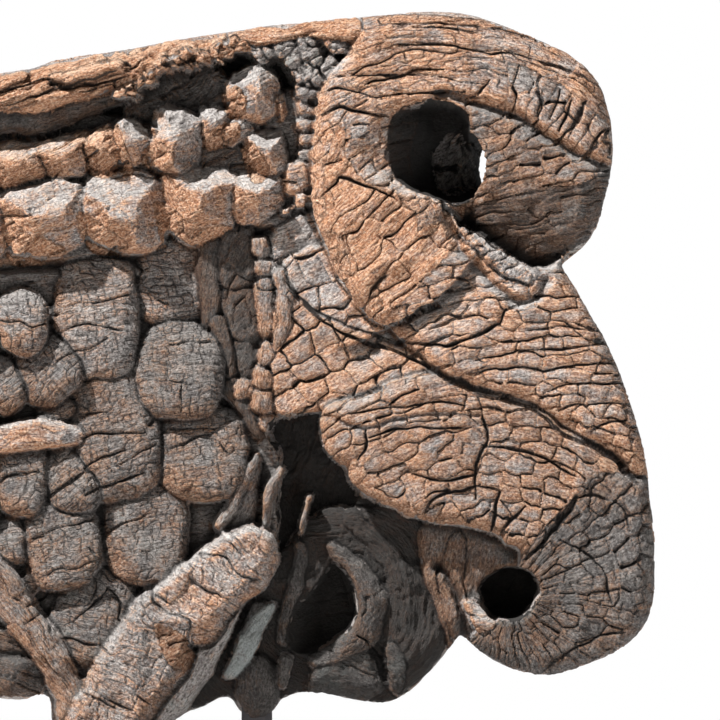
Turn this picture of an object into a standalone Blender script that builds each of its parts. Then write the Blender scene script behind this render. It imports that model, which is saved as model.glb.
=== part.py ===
"""Carved wooden corbel with an animal head in profile, held up on a steel post and foot.

Metres, +Z up, the carved face towards -Y. The origin is on the floor, under the middle of the whole.
The carving is set out on a full-size drawing of the face: X runs right and Y down, both in divisions,
with 690 divisions from the wall end to the nose. Depths are in divisions behind the front plane.
"""

import math

import bmesh
import bpy
import numpy as np

# Driving dimensions, in metres
CORBEL_LENGTH = 0.575
CORBEL_THICKNESS = 0.140
UNDERSIDE_ABOVE_FLOOR = 0.080
POST_SIDE = 0.0254
POST_INTO_WOOD = 0.110
SOCKET_CLEARANCE = 0.0006
FOOT_LENGTH = 0.400
FOOT_WIDTH = 0.260
FOOT_THICKNESS = 0.012
STEEL_EDGE = 0.0015
JOINT_GAP = 0.0003

# The drawing's own rows and columns
WALL_END = -36
NOSE = 654
SAWN_END = 775
SAW_ALLOWANCE = 14
POST_COLUMN = 256.75
POST_ENTRY_ROW = 705
POST_BEHIND_MIDDLE = 0.09
THICKNESS_DIVISIONS = 168

DIVISION = CORBEL_LENGTH / (NOSE - WALL_END)
DEPTH_DIVISION = CORBEL_THICKNESS / THICKNESS_DIVISIONS
MIDDLE_COLUMN = (WALL_END + NOSE) / 2

# Depths of the two ground levels, in divisions
GROUND = -72
PANEL = -50

NET_SPACING = 1.5
COARSE_VOXEL = 3.6 * DIVISION
FINE_VOXEL = 2.6 * DIVISION
CORBEL_TRIANGLES = 8600

OUTLINE = [
    (-50, 85), (0, 74), (27, 70), (60, 60), (100, 54), (140, 47), (200, 37), (260, 28), (340, 20), (430, 13),
    (470, 16), (500, 26), (545, 44), (575, 60), (595, 80), (607, 110), (612, 150), (604, 200), (590, 238),
    (561, 265), (586, 308), (610, 352), (631, 407), (644, 455), (650, 505), (654, 560), (648, 615), (632, 638),
    (595, 660), (538, 674), (495, 660), (460, 635), (440, 660), (400, 698), (382, 703), (350, 699), (318, 693),
    (283, 699), (272, 712), (256, 719), (241, 712), (228, 698), (205, 706), (175, 720), (157, 747), (148, 789),
    (40, 789), (48, 745), (51, 715), (46, 696), (22, 699), (-50, 690),
]
CORNERS = {(-50, 85), (561, 265), (460, 635), (148, 789), (40, 789), (-50, 690)}

# The pierced eye runs back and to the right: its middle and half sizes, and how far it leans either way
EYE = (482, 166)
EYE_HALF = (31, 37)
EYE_LEAN = 30
EYE_REACH = 85

# Knobs: column, row, half width, half height, crest depth, turn in degrees
UPPER_BEADS = [
    (-26, 168, 27, 22, -12, -8), (20, 164, 25, 22, -12, -10), (64, 158, 25, 20, -11, -6), (102, 151, 21, 20, -10, -25),
    (127, 142, 19, 23, -8, 15), (155, 130, 9, 9, -20, 0), (176, 140, 26, 28, -7, 10), (214, 128, 16, 20, -14, 5),
    (236, 132, 20, 16, -20, -35), (264, 152, 21, 27, -14, -15), (284, 108, 7, 18, -26, 0),
]
CORNER_KNOB = (256, 95, 26, 28, -8, -15)
LOWER_BEADS = [
    (-30, 227, 38, 28, -8, 0), (48, 221, 41, 39, -4, -12), (121, 211, 42, 40, -2, 0), (196, 204, 39, 37, -3, 0),
    (254, 196, 26, 29, -10, 0), (295, 178, 14, 19, -22, 0), (301, 203, 8, 10, -20, 0), (285, 212, 7, 6, -24, 0),
]
# Scales: column, row, half width, half height, crest depth, turn, squareness
SCALES = [
    (96, 322, 41, 63, -20, -3, 3.4), (170, 284, 38, 47, -27, 0, 3.0), (177, 376, 48, 44, -16, 0, 2.3),
    (116, 440, 43, 61, -22, -8, 3.2), (201, 462, 47, 39, -19, 0, 2.3), (145, 538, 41, 49, -22, 0, 3.0),
    (92, 615, 34, 51, -26, 20, 2.4), (22, 322, 25, 34, -16, 0, 2.2), (48, 372, 31, 32, -20, -35, 2.8),
    (57, 408, 20, 12, -34, -15, 2.6), (6, 386, 17, 23, -28, -30, 2.5), (22, 481, 27, 33, -20, 0, 2.8),
    (71, 484, 29, 30, -22, -30, 2.6), (62, 542, 38, 43, -18, -10, 2.8), (8, 543, 19, 21, -26, 0, 2.5),
    (-28, 322, 25, 34, -20, 0, 2.4), (-28, 386, 21, 26, -28, 0, 2.4), (-30, 481, 25, 33, -24, 0, 2.6),
    (-26, 543, 19, 23, -26, 0, 2.5),
]
COLLAR_KNOBS = [
    (258, 247, 9, 8, -26, 0), (258, 262, 9, 8, -26, 0), (258, 275, 9, 8, -26, 0), (267, 357, 9, 18, -24, -12),
    (246, 362, 10, 18, -28, -12), (264, 380, 7, 22, -28, -12), (240, 385, 11, 13, -26, -12),
    (250, 415, 10, 18, -30, -12), (232, 410, 8, 12, -34, -12),
]
CRUMBLED_LUMPS = [
    (262, 50, 12, 10, -20, 0), (284, 46, 13, 11, -21, 0), (303, 42, 11, 9, -24, 0), (300, 64, 15, 13, -22, 0),
    (316, 80, 12, 10, -30, 0), (315, 58, 11, 9, -24, 0), (280, 66, 9, 8, -30, 0), (325, 46, 12, 10, -16, 0),
]
# The string of small beads; a bead's half width, half height, crest depth and turn
STRING_COLUMN, STRING_TOP, STRING_STEP, STRING_BEADS = 303, 97, 15.5, 8
STRING_BEAD = (10, 7.5, -30, 0)

# Bars: rows of column, row, half width, crest depth
LEDGE_UNDERSIDE = [(-60, 109, 37, -20), (40, 100, 35, -20), (90, 88, 28, -22), (122, 80, 22, -24)]
LEDGE_LIP = [(-60, 99, 24, -3), (40, 88, 26, -3), (85, 76, 24, -5), (118, 68, 20, -7)]
LEDGE_SPLINTERS = [[(50, 84, 9, -1), (118, 64, 8, -2)], [(-20, 89, 12, 0), (26, 76, 8, 0)]]
RECESS_LIP = [(112, 72, 24, -6), (160, 60, 19, -9), (200, 50, 16, -13), (245, 43, 15, -17)]
TOP_STRIP = [(240, 38, 12, -14), (300, 28, 12, -14), (350, 26, 12, -10)]
SCALE_BAR = [(-60, 437, 16, -14), (40, 434, 17, -14), (76, 434, 12, -20)]
COLLAR_STRIPS = [
    [(212, 238, 10, -38), (213, 325, 9, -40)],
    [(228, 240, 10, -40), (238, 290, 14, -38), (240, 335, 10, -42)],
    [(252, 285, 13, -34), (252, 335, 10, -36)],
    [(262, 285, 6, -24), (264, 335, 5, -26)],
    [(274, 282, 8, -22), (278, 335, 6, -24)],
    [(222, 335, 12, -30), (228, 368, 10, -34)],
]
LEAVES = [
    [(254, 462, 9, -28), (240, 492, 13, -24), (228, 528, 11, -26)],
    [(282, 470, 7, -34), (270, 495, 9, -32), (262, 520, 7, -34)],
    [(312, 498, 5, -46), (302, 530, 5, -46)],
]
LIMB_UPPER = [(252, 548, 26, -2), (215, 582, 35, 0), (166, 622, 37, -1)]
LIMB_LOWER = [(160, 632, 36, -3), (132, 672, 41, -2), (102, 730, 43, -4), (82, 810, 46, -6)]
LIMB_RIDGE = [(243, 598, 12, -22), (214, 650, 14, -24), (178, 720, 16, -28), (146, 810, 18, -30)]
SECOND_BAND = [(-60, 526, 17, -18), (12, 590, 18, -16), (46, 640, 19, -16), (70, 690, 16, -20), (84, 780, 15, -24)]
LIMB_BLOCKS = [(-2, 640, 50, 15, -30, 5), (-2, 677, 50, 21, -22, 5), (34, 575, 13, 18, -30, 10)]
MOUTH_RIM = [
    (334, 560, 8, -36), (352, 576, 10, -34), (368, 602, 11, -34), (363, 626, 10, -34), (342, 648, 9, -36),
    (322, 657, 8, -38),
]
JAW_FOLDS = [[(262, 605, 9, -46), (236, 650, 8, -46)], [(300, 545, 9, -52), (285, 640, 9, -52)]]

# Lobes: closed outlines on the drawing
PANEL_OUTLINE = [
    (-70, 120), (130, 118), (250, 95), (300, 110), (300, 240), (290, 420), (270, 560), (200, 640), (60, 740),
    (-70, 740),
]
CRUMBLED_GROUND = [(246, 50), (280, 34), (322, 32), (324, 88), (300, 94), (282, 66), (262, 62)]
CHEEK = [
    (283, 268), (288, 250), (318, 240), (333, 262), (344, 292), (362, 316), (372, 330), (345, 326), (322, 312),
    (302, 300),
]
FAN = [
    (278, 300), (300, 300), (330, 318), (370, 335), (405, 356), (440, 372), (410, 388), (370, 390), (330, 402),
    (305, 414), (282, 418), (272, 395), (270, 340),
]
FAN_GROOVES = [
    [(284, 352), (310, 346), (340, 342)], [(286, 378), (320, 368), (362, 360)],
    [(318, 322), (324, 345), (322, 372)], [(352, 340), (358, 360), (350, 384)],
]
VOLUTE = [
    (326, -10), (318, 60), (317, 100), (311, 140), (309, 190), (316, 228), (345, 290), (390, 290), (456, 222),
    (480, 241), (500, 256), (520, 266), (548, 272), (590, 275), (640, 240), (660, 200), (665, 140), (650, 70),
    (600, 20), (540, -20), (440, -30),
]
VOLUTE_CLEFT = [(440, 97), (480, 104), (500, 110), (520, 120), (560, 143), (605, 170), (625, 180)]
TONGUE = [
    (330, 110), (312, 170), (317, 228), (326, 245), (334, 265), (341, 285), (351, 302), (362, 315), (374, 326),
    (388, 332), (402, 345), (420, 357), (440, 371), (480, 388), (520, 403), (555, 425), (580, 438), (605, 452),
    (650, 480), (720, 470), (720, 380), (660, 300), (600, 240), (545, 268), (505, 262), (470, 232), (440, 205),
    (400, 170), (360, 120),
]
TONGUE_FOLD = [(372, 338), (388, 333), (402, 327), (420, 311), (440, 299), (462, 272)]
TONGUE_STRAP = [(440, 215), (455, 238), (470, 262), (484, 276), (502, 293), (520, 300), (538, 296), (550, 282)]
TRUNK = [
    (316, 418), (320, 440), (328, 456), (345, 470), (350, 487), (370, 501), (395, 512), (430, 525), (460, 530),
    (485, 537), (500, 543), (516, 560), (508, 595), (484, 618), (466, 640), (480, 690), (560, 730), (690, 710),
    (740, 560), (720, 440), (640, 470), (605, 446), (560, 412), (500, 384), (440, 368), (400, 378), (370, 386),
    (345, 392), (322, 403),
]
TRUNK_GROOVES = [
    [(318, 413), (345, 422), (366, 427), (400, 418), (440, 411), (480, 414)],
    [(574, 490), (570, 503), (562, 520), (545, 542), (528, 558)],
]
INNER_CURL = [
    (425, 520), (480, 525), (525, 560), (500, 600), (480, 625), (462, 640), (448, 650), (430, 600), (420, 560),
]
INNER_CURL_CREASE = [(440, 568), (448, 575), (457, 598), (460, 630)]
JAW = [
    (300, 430), (340, 440), (360, 500), (425, 515), (445, 580), (445, 640), (430, 690), (395, 712), (340, 708),
    (290, 708), (262, 735), (235, 720), (225, 705), (190, 715), (200, 660), (240, 600), (270, 560),
]
JAW_CHEEK = [
    (384, 560), (420, 560), (436, 600), (452, 650), (425, 690), (398, 700), (385, 660), (372, 634), (380, 600),
]
JAW_KNOBS = [(250, 645, 26, 26, -44, -30), (284, 672, 9, 20, -40, 15)]
NUB = (257, 690, 25, 38, -44, 0)
JAW_PLATE = [(312, 664), (352, 636), (372, 656), (386, 690), (350, 702), (312, 700)]
EYE_FUNNEL = [
    (395, 108), (440, 103), (466, 116), (471, 140), (481, 160), (484, 180), (477, 194), (462, 204), (446, 201),
    (424, 192), (400, 181), (368, 165), (352, 140), (368, 118),
]
TRUNK_HOLE = [(478, 590), (486, 573), (508, 566), (530, 573), (539, 592), (532, 612), (508, 622), (486, 612)]
MOUTH = [
    (333, 558), (346, 576), (357, 600), (354, 618), (335, 640), (319, 652), (300, 655), (288, 642), (296, 612),
    (313, 584), (325, 564),
]
SOFT_EDGE = (24, 26)
BACK_SHARE = 0.4
DEEPEST_SEEN_BEHIND = 60

# How forms fall away at their edges: reach across the face, and drop in depth
EDGES = {
    "panel": (12, 10), "ledge underside": (22, 26), "ledge lip": (15, 18), "splinter": (7, 8),
    "recess lip": (14, 20), "top strip": (8, 14), "crumbled ground": (8, 14), "scale bar": (12, 16),
    "collar strip": (8, 10), "leaf": (7, 16), "cheek": (8, 12), "fan": (10, 16), "jaw": (16, 12),
    "mouth rim": (9, 16), "jaw plate": (9, 12), "jaw fold": (7, 10), "volute": (22, 26), "tongue": (24, 26),
    "trunk": (20, 24), "inner curl": (12, 14), "limb": (26, 34), "limb ridge": (8, 18), "second band": (12, 18),
}
# Depths of the flat lobes and of the floors of pockets
LEVELS = {
    "crumbled ground": -30, "cheek": -30, "fan": -24, "jaw": -58, "jaw cheek": -50, "jaw plate": -42,
    "volute": -2, "tongue": -3, "trunk": -8, "inner curl": -34, "trunk hole": -112, "mouth": -60,
}
# Widths and depths of grooves
GROOVES = {"fan": (6, 7), "cleft": (9, 14), "trunk": (8, 12), "curl": (7, 14)}
# How knobs are rounded: drop in depth, share of the half width it reaches over, squareness and lean
UPPER_BEAD = {"drop": 22, "reach": 0.8, "square": 2.6, "lean": -4}
LOWER_BEAD = {"drop": 30, "reach": 0.8, "square": 3.0, "lean": -5}
SCALE = {"drop": 18, "reach": 0.32, "lean": 5}
ROUND_KNOB = {"drop": 24, "reach": 0.9, "square": 2.2, "lean": -4}
SQUARE_KNOB = {"drop": 13, "reach": 0.6, "square": 3.0}
SMALL_KNOB = {"drop": 10, "reach": 0.6, "square": 2.6}

TONGUE_SLOPE = -0.02
TONGUE_BLEND = 8
TONGUE_FOLD_STEP = (60, 16)
VOLUTE_HOLLOW = 0.0032
POCKET_EDGE = 5
EYE_FUNNEL_DEPTH, EYE_RAMP, EYE_RAMP_BEND = 95, (352, 432), 1.4
MOUTH_DEPTH, MOUTH_RAMP = 50, (290, 325)


def catmull_rom(before, start, end, further, t):
    """A point of the smooth curve that passes through start and end."""
    return 0.5 * (
        2 * start
        + (end - before) * t
        + (2 * before - 5 * start + 4 * end - further) * t**2
        + (3 * start - before - 3 * end + further) * t**3
    )


def smooth_loop(points, steps=8):
    """A closed smooth curve through the points."""
    p = np.array(points, float)
    t = (np.arange(steps) / steps)[:, None, None]
    curve = catmull_rom(np.roll(p, 1, 0), p, np.roll(p, -1, 0), np.roll(p, -2, 0), t)
    return curve.transpose(1, 0, 2).reshape(-1, 2)


def smooth_line(points, steps=8):
    """An open smooth curve through the points."""
    p = np.array(points, float)
    p = np.concatenate([2 * p[:1] - p[1:2], p, 2 * p[-1:] - p[-2:-1]])
    t = (np.arange(steps) / steps)[:, None, None]
    curve = catmull_rom(p[:-3], p[1:-2], p[2:-1], p[3:], t).transpose(1, 0, 2).reshape(-1, 2)
    return np.concatenate([curve, p[-2:-1]])


def rounded_fall(inside, reach, drop):
    """How far a surface falls near an edge: a quarter ellipse, reach wide and drop deep."""
    s = np.clip(1 - inside / reach, 0, 1)
    return drop * (1 - np.sqrt(1 - s * s))


class Face:
    """The carved face as a net of depths behind the front plane, cut and raised form by form."""

    def __init__(self):
        self.columns = np.arange(WALL_END - 2 * SAW_ALLOWANCE, NOSE + 12, NET_SPACING)
        self.rows = np.arange(0, SAWN_END + 2 * SAW_ALLOWANCE, NET_SPACING)
        self.x, self.y = np.meshgrid(self.columns, self.rows)
        self.depth = np.full(self.x.shape, float(GROUND))

    def window(self, points, margin):
        """The part of the net that lies within a margin of the points."""
        low = (np.min(points, 0) - margin - (self.columns[0], self.rows[0])) / NET_SPACING
        high = (np.max(points, 0) + margin - (self.columns[0], self.rows[0])) / NET_SPACING
        low = np.maximum(low, 0).astype(int)
        high = np.maximum(high + 2, 0).astype(int)
        return slice(low[1], high[1]), slice(low[0], high[0])

    def line_distance(self, line, at):
        """The net's distance to an open line, and the side of the line that it is on."""
        x, y = self.x[at], self.y[at]
        nearest = np.full(x.shape, np.inf)
        side = np.zeros(x.shape)
        for (ax, ay), (bx, by) in zip(line[:-1], line[1:]):
            dx, dy = bx - ax, by - ay
            t = np.clip(((x - ax) * dx + (y - ay) * dy) / (dx * dx + dy * dy), 0, 1)
            d = (x - ax - t * dx) ** 2 + (y - ay - t * dy) ** 2
            side = np.where(d < nearest, np.sign(dx * (y - ay) - dy * (x - ax)), side)
            nearest = np.minimum(nearest, d)
        return np.sqrt(nearest), side

    def inside_distance(self, loop, at):
        """The net's distance to a closed outline, positive inside it."""
        x, y = self.x[at], self.y[at]
        odd = np.zeros(x.shape, bool)
        for (ax, ay), (bx, by) in zip(loop, np.roll(loop, -1, 0)):
            if ay != by:
                odd ^= ((ay > y) != (by > y)) & (x < ax + (y - ay) * (bx - ax) / (by - ay))
        distance, _ = self.line_distance(np.concatenate([loop, loop[:1]]), at)
        return np.where(odd, distance, -distance)

    def raise_to(self, at, depth, where, blend=0):
        """Lifts the face to a form where the form stands prouder, with a soft join if blend is set."""
        old = self.depth[at]
        new = np.maximum(old, depth)
        if blend:
            new = new + np.maximum(blend - np.abs(old - depth), 0) ** 2 / (4 * blend)
        self.depth[at] = np.where(where, new, old)

    def lobe(self, points, level, reach, drop, slope=0, blend=0):
        """A flat lobe with a rounded edge; slope lifts it towards the right."""
        loop = smooth_loop(points)
        at = self.window(loop, 1)
        inside = self.inside_distance(loop, at)
        depth = level + slope * (self.x[at] - loop[:, 0].mean()) - rounded_fall(inside, reach, drop)
        self.raise_to(at, depth, inside > 0, blend)

    def bar(self, rows, reach, drop):
        """A rounded bar that swells and sinks along its rows."""
        points = np.array(rows, float)
        at = self.window(points[:, :2], points[:, 2].max() + 1)
        x, y = self.x[at], self.y[at]
        for (ax, ay, ar, ad), (bx, by, br, bd) in zip(points[:-1], points[1:]):
            dx, dy = bx - ax, by - ay
            t = np.clip(((x - ax) * dx + (y - ay) * dy) / (dx * dx + dy * dy), 0, 1)
            half = ar + t * (br - ar)
            inside = half - np.hypot(x - ax - t * dx, y - ay - t * dy)
            depth = ad + t * (bd - ad) - rounded_fall(inside, np.minimum(reach, half), drop)
            self.raise_to(at, depth, inside > 0)

    def knob(self, row, drop, reach, square, lean=0):
        """A rounded block or scale: a squared ellipse; lean brings its lower end forward."""
        column, middle, across, up, level, turn = row
        size = 1.5 * max(across, up)
        at = self.window([(column - size, middle - size), (column + size, middle + size)], 0)
        c, s = math.cos(math.radians(turn)), math.sin(math.radians(turn))
        u = ((self.x[at] - column) * c + (self.y[at] - middle) * s) / across
        v = ((self.y[at] - middle) * c - (self.x[at] - column) * s) / up
        ring = (np.abs(u) ** square + np.abs(v) ** square) ** (1 / square)
        half = min(across, up)
        depth = level + lean * v - rounded_fall((1 - ring) * half, reach * half, drop)
        self.raise_to(at, depth, ring < 1)

    def groove(self, points, width, depth):
        """A V-shaped groove along a line."""
        line = smooth_line(points)
        at = self.window(line, width + 1)
        distance, _ = self.line_distance(line, at)
        self.depth[at] -= depth * np.clip(1 - distance / width, 0, 1) ** 1.3

    def step_down(self, points, width, depth):
        """Lowers the face to the right of a line: sheer at the line and fading out over width."""
        line = smooth_line(points)
        at = self.window(line, width + 1)
        distance, side = self.line_distance(line, at)
        share = np.clip(1 - distance / width, 0, 1) ** 2
        self.depth[at] -= np.where(side > 0, depth * share, 0)

    def sink(self, points, floor):
        """A pocket: the face drops to the floor inside the outline."""
        loop = smooth_loop(points)
        at = self.window(loop, POCKET_EDGE + 1)
        share = np.clip(self.inside_distance(loop, at) / POCKET_EDGE, 0, 1)
        share = share * share * (3 - 2 * share)
        low = np.minimum(self.depth[at], floor(self.x[at]))
        self.depth[at] += (low - self.depth[at]) * share


def carve_ledge(face):
    """The plank edge along the top, weathered to splinters, and the crumbled ground beside the head."""
    face.bar(LEDGE_UNDERSIDE, *EDGES["ledge underside"])
    face.bar(LEDGE_LIP, *EDGES["ledge lip"])
    for splinter in LEDGE_SPLINTERS:
        face.bar(splinter, *EDGES["splinter"])
    face.bar(RECESS_LIP, *EDGES["recess lip"])
    face.bar(TOP_STRIP, *EDGES["top strip"])
    face.lobe(CRUMBLED_GROUND, LEVELS["crumbled ground"], *EDGES["crumbled ground"])
    for lump in CRUMBLED_LUMPS:
        face.knob(lump, **SMALL_KNOB)


def carve_beads(face):
    """Two rows of rounded beads under the ledge, and the small string of beads beside the head."""
    for bead in UPPER_BEADS:
        face.knob(bead, **UPPER_BEAD)
    face.knob(CORNER_KNOB, **ROUND_KNOB)
    for bead in LOWER_BEADS:
        face.knob(bead, **LOWER_BEAD)
    for count in range(STRING_BEADS):
        face.knob((STRING_COLUMN, STRING_TOP + STRING_STEP * count, *STRING_BEAD), **SMALL_KNOB)


def carve_scales(face):
    """Scales that overlap downwards like roof tiles, and the bar that crosses them."""
    for *row, square in SCALES:
        face.knob(row, square=square, **SCALE)
    face.bar(SCALE_BAR, *EDGES["scale bar"])


def carve_collar(face):
    """Strips, feathers and leaves between the scales and the head."""
    for strip in COLLAR_STRIPS:
        face.bar(strip, *EDGES["collar strip"])
    for block in COLLAR_KNOBS:
        face.knob(block, **SQUARE_KNOB)
    for leaf in LEAVES:
        face.bar(leaf, *EDGES["leaf"])
    face.lobe(CHEEK, LEVELS["cheek"], *EDGES["cheek"])
    face.lobe(FAN, LEVELS["fan"], *EDGES["fan"])
    for line in FAN_GROOVES:
        face.groove(line, *GROOVES["fan"])


def carve_jaw(face):
    """The jaw, set back in the shade behind the trunk, with the rim of its mouth and its small nub."""
    face.lobe(JAW, LEVELS["jaw"], *EDGES["jaw"])
    face.lobe(JAW_CHEEK, LEVELS["jaw cheek"], *EDGES["cheek"])
    face.bar(MOUTH_RIM, *EDGES["mouth rim"])
    face.lobe(JAW_PLATE, LEVELS["jaw plate"], *EDGES["jaw plate"])
    for knob in JAW_KNOBS:
        face.knob(knob, **SQUARE_KNOB)
    face.knob(NUB, **ROUND_KNOB)
    for fold in JAW_FOLDS:
        face.bar(fold, *EDGES["jaw fold"])


def carve_head(face):
    """The volute, the tongue that leaves it, and the trunk that curls round the lower hole."""
    loop = smooth_loop(VOLUTE)
    at = face.window(loop, 1)
    inside = face.inside_distance(loop, at)
    below, side = face.line_distance(smooth_line(VOLUTE_CLEFT), at)
    below = np.where((side > 0) & (face.x[at] > VOLUTE_CLEFT[0][0]), below, 0)
    hollowed = LEVELS["volute"] - VOLUTE_HOLLOW * below**2
    face.raise_to(at, hollowed - rounded_fall(inside, *EDGES["volute"]), inside > 0)
    face.groove(VOLUTE_CLEFT, *GROOVES["cleft"])
    face.lobe(TONGUE, LEVELS["tongue"], *EDGES["tongue"], slope=TONGUE_SLOPE, blend=TONGUE_BLEND)
    face.step_down(TONGUE_FOLD, *TONGUE_FOLD_STEP)
    face.groove(TONGUE_STRAP, *GROOVES["trunk"])
    face.lobe(TRUNK, LEVELS["trunk"], *EDGES["trunk"])
    for line in TRUNK_GROOVES:
        face.groove(line, *GROOVES["trunk"])
    face.lobe(INNER_CURL, LEVELS["inner curl"], *EDGES["inner curl"])
    face.groove(INNER_CURL_CREASE, *GROOVES["curl"])


def carve_limb(face):
    """The log-like limb that stands furthest forward, and the pieces beside it."""
    face.bar(LIMB_RIDGE, *EDGES["limb ridge"])
    face.bar(LIMB_UPPER, *EDGES["limb"])
    face.bar(LIMB_LOWER, *EDGES["limb"])
    face.bar(SECOND_BAND, *EDGES["second band"])
    for block in LIMB_BLOCKS:
        face.knob(block, **SQUARE_KNOB)


def ramp(columns, low, high):
    """From 0 at one column of the drawing to 1 at another."""
    return np.clip((columns - low) / (high - low), 0, 1)


def carve_pockets(face):
    """The funnel of the pierced eye, the hole in the trunk's curl and the mouth."""
    face.sink(EYE_FUNNEL, lambda x: LEVELS["volute"] - EYE_FUNNEL_DEPTH * ramp(x, *EYE_RAMP) ** EYE_RAMP_BEND)
    face.sink(TRUNK_HOLE, lambda x: np.full(x.shape, LEVELS["trunk hole"]))
    face.sink(MOUTH, lambda x: LEVELS["mouth"] - MOUTH_DEPTH * ramp(x, *MOUTH_RAMP))


def carved_face():
    """The whole front: what lies furthest back first, pockets last."""
    face = Face()
    face.lobe(PANEL_OUTLINE, PANEL, *EDGES["panel"])
    carve_ledge(face)
    carve_beads(face)
    carve_scales(face)
    carve_collar(face)
    carve_jaw(face)
    carve_head(face)
    carve_limb(face)
    carve_pockets(face)
    return face


def softened(values, radius):
    """The mean over a square of the net, worked out along rows and then along columns."""
    for axis in (0, 1):
        padded = np.pad(values, [(radius + 1, radius) if i == axis else (0, 0) for i in (0, 1)], "edge")
        sums = np.cumsum(padded, axis)
        width = 2 * radius + 1
        after = np.take(sums, range(width, sums.shape[axis]), axis)
        values = (after - np.take(sums, range(sums.shape[axis] - width), axis)) / width
    return values


def read_net(face, values, x, y):
    """The net's values at any points, in straight lines between its knots."""
    i = np.clip((x - face.columns[0]) / NET_SPACING, 0, len(face.columns) - 1.001)
    j = np.clip((y - face.rows[0]) / NET_SPACING, 0, len(face.rows) - 1.001)
    i0, j0 = i.astype(int), j.astype(int)
    fi, fj = i - i0, j - j0
    upper = values[j0, i0] * (1 - fi) + values[j0, i0 + 1] * fi
    lower = values[j0 + 1, i0] * (1 - fi) + values[j0 + 1, i0 + 1] * fi
    return upper * (1 - fj) + lower * fj


def at_column(column):
    """World X of a column of the drawing."""
    return (column - MIDDLE_COLUMN) * DIVISION


def at_row(row):
    """World Z of a row of the drawing."""
    return UNDERSIDE_ABOVE_FLOOR + (SAWN_END - row) * DIVISION


def link(obj, collection):
    collection.objects.link(obj)
    return obj


def new_collection(name):
    collection = bpy.data.collections.new(name)
    bpy.context.scene.collection.children.link(collection)
    return collection


def material(name, colour, roughness, metallic):
    made = bpy.data.materials.new(name)
    made.use_nodes = True
    shader = made.node_tree.nodes["Principled BSDF"]
    shader.inputs["Base Color"].default_value = (*colour, 1)
    shader.inputs["Roughness"].default_value = roughness
    shader.inputs["Metallic"].default_value = metallic
    made.diffuse_color = (*colour, 1)
    return made


def evaluated_mesh(obj):
    graph = bpy.context.evaluated_depsgraph_get()
    return bpy.data.meshes.new_from_object(obj.evaluated_get(graph))


def add_spline(curve, points, corners=()):
    """A closed Bezier outline: smooth, but for the corners named."""
    spline = curve.splines.new("BEZIER")
    spline.bezier_points.add(len(points) - 1)
    for knot, point in zip(spline.bezier_points, points):
        knot.co = (at_column(point[0]), at_row(point[1]), 0)
        kind = "VECTOR" if point in corners else "AUTO"
        knot.handle_left_type = kind
        knot.handle_right_type = kind
    spline.use_cyclic_u = True


def sawn_plank(collection):
    """The block before carving: sawn to its outline, with the eye cut through."""
    curve = bpy.data.curves.new("plank", "CURVE")
    curve.dimensions = "2D"
    curve.fill_mode = "BOTH"
    curve.extrude = CORBEL_THICKNESS / 2
    add_spline(curve, OUTLINE, CORNERS)
    quarters = [(1, 0), (0, 1), (-1, 0), (0, -1)]
    add_spline(curve, [(EYE[0] + a * EYE_HALF[0], EYE[1] + b * EYE_HALF[1]) for a, b in quarters])
    outline = link(bpy.data.objects.new("plank_outline", curve), collection)
    outline.rotation_euler = (math.pi / 2, 0, 0)
    bpy.context.view_layer.update()
    mesh = evaluated_mesh(outline)
    mesh.transform(outline.matrix_world)
    bpy.data.objects.remove(outline)
    welded = bmesh.new()
    welded.from_mesh(mesh)
    bmesh.ops.remove_doubles(welded, verts=welded.verts, dist=1e-6)
    bmesh.ops.recalc_face_normals(welded, faces=welded.faces)
    welded.to_mesh(mesh)
    welded.free()
    return mesh


def carve_plank(mesh):
    """Moves the plank's points in depth: the face to its relief, the back to a plainer echo of it."""
    points = np.empty(3 * len(mesh.vertices))
    mesh.vertices.foreach_get("co", points)
    points = points.reshape(-1, 3)
    through = points[:, 1] / CORBEL_THICKNESS + 0.5
    column = points[:, 0] / DIVISION + MIDDLE_COLUMN
    row = SAWN_END - (points[:, 2] - UNDERSIDE_ABOVE_FLOOR) / DIVISION
    ring = np.hypot((column - EYE[0]) / EYE_HALF[0], (row - EYE[1]) / EYE_HALF[1])
    reach = np.clip(1 - (ring - 1) * min(EYE_HALF) / EYE_REACH, 0, 1)
    column = column + EYE_LEAN * (2 * through - 1) * reach * reach * (3 - 2 * reach)

    face = carved_face()
    everywhere = (slice(None), slice(None))
    edge = rounded_fall(face.inside_distance(smooth_loop(OUTLINE, 4), everywhere), *SOFT_EDGE)
    echo = softened(np.maximum(face.depth, -DEEPEST_SEEN_BEHIND), 5) * BACK_SHARE
    front = read_net(face, softened(face.depth - edge, 1), column, row)
    back = read_net(face, echo - edge, column, row)
    points[:, 0] = at_column(column)
    near = -CORBEL_THICKNESS / 2 - front * DEPTH_DIVISION
    far = CORBEL_THICKNESS / 2 + back * DEPTH_DIVISION
    points[:, 1] = near + (far - near) * through
    mesh.vertices.foreach_set("co", points.ravel())
    mesh.update()


def box(name, collection, low, high):
    """A box between two corners, with its scale applied."""
    mesh = bpy.data.meshes.new(name)
    shape = bmesh.new()
    bmesh.ops.create_cube(shape, size=1)
    for vertex in shape.verts:
        for axis in range(3):
            middle, side = (low[axis] + high[axis]) / 2, high[axis] - low[axis]
            vertex.co[axis] = middle + vertex.co[axis] * side
    shape.to_mesh(mesh)
    shape.free()
    return link(bpy.data.objects.new(name, mesh), collection)


def post_box(clearance, bottom, top):
    """Corners of the post, or of its socket when a clearance is added."""
    x, y = at_column(POST_COLUMN), POST_BEHIND_MIDDLE * CORBEL_THICKNESS
    half = POST_SIDE / 2 + clearance
    return (x - half, y - half, bottom), (x + half, y + half, top)


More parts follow.
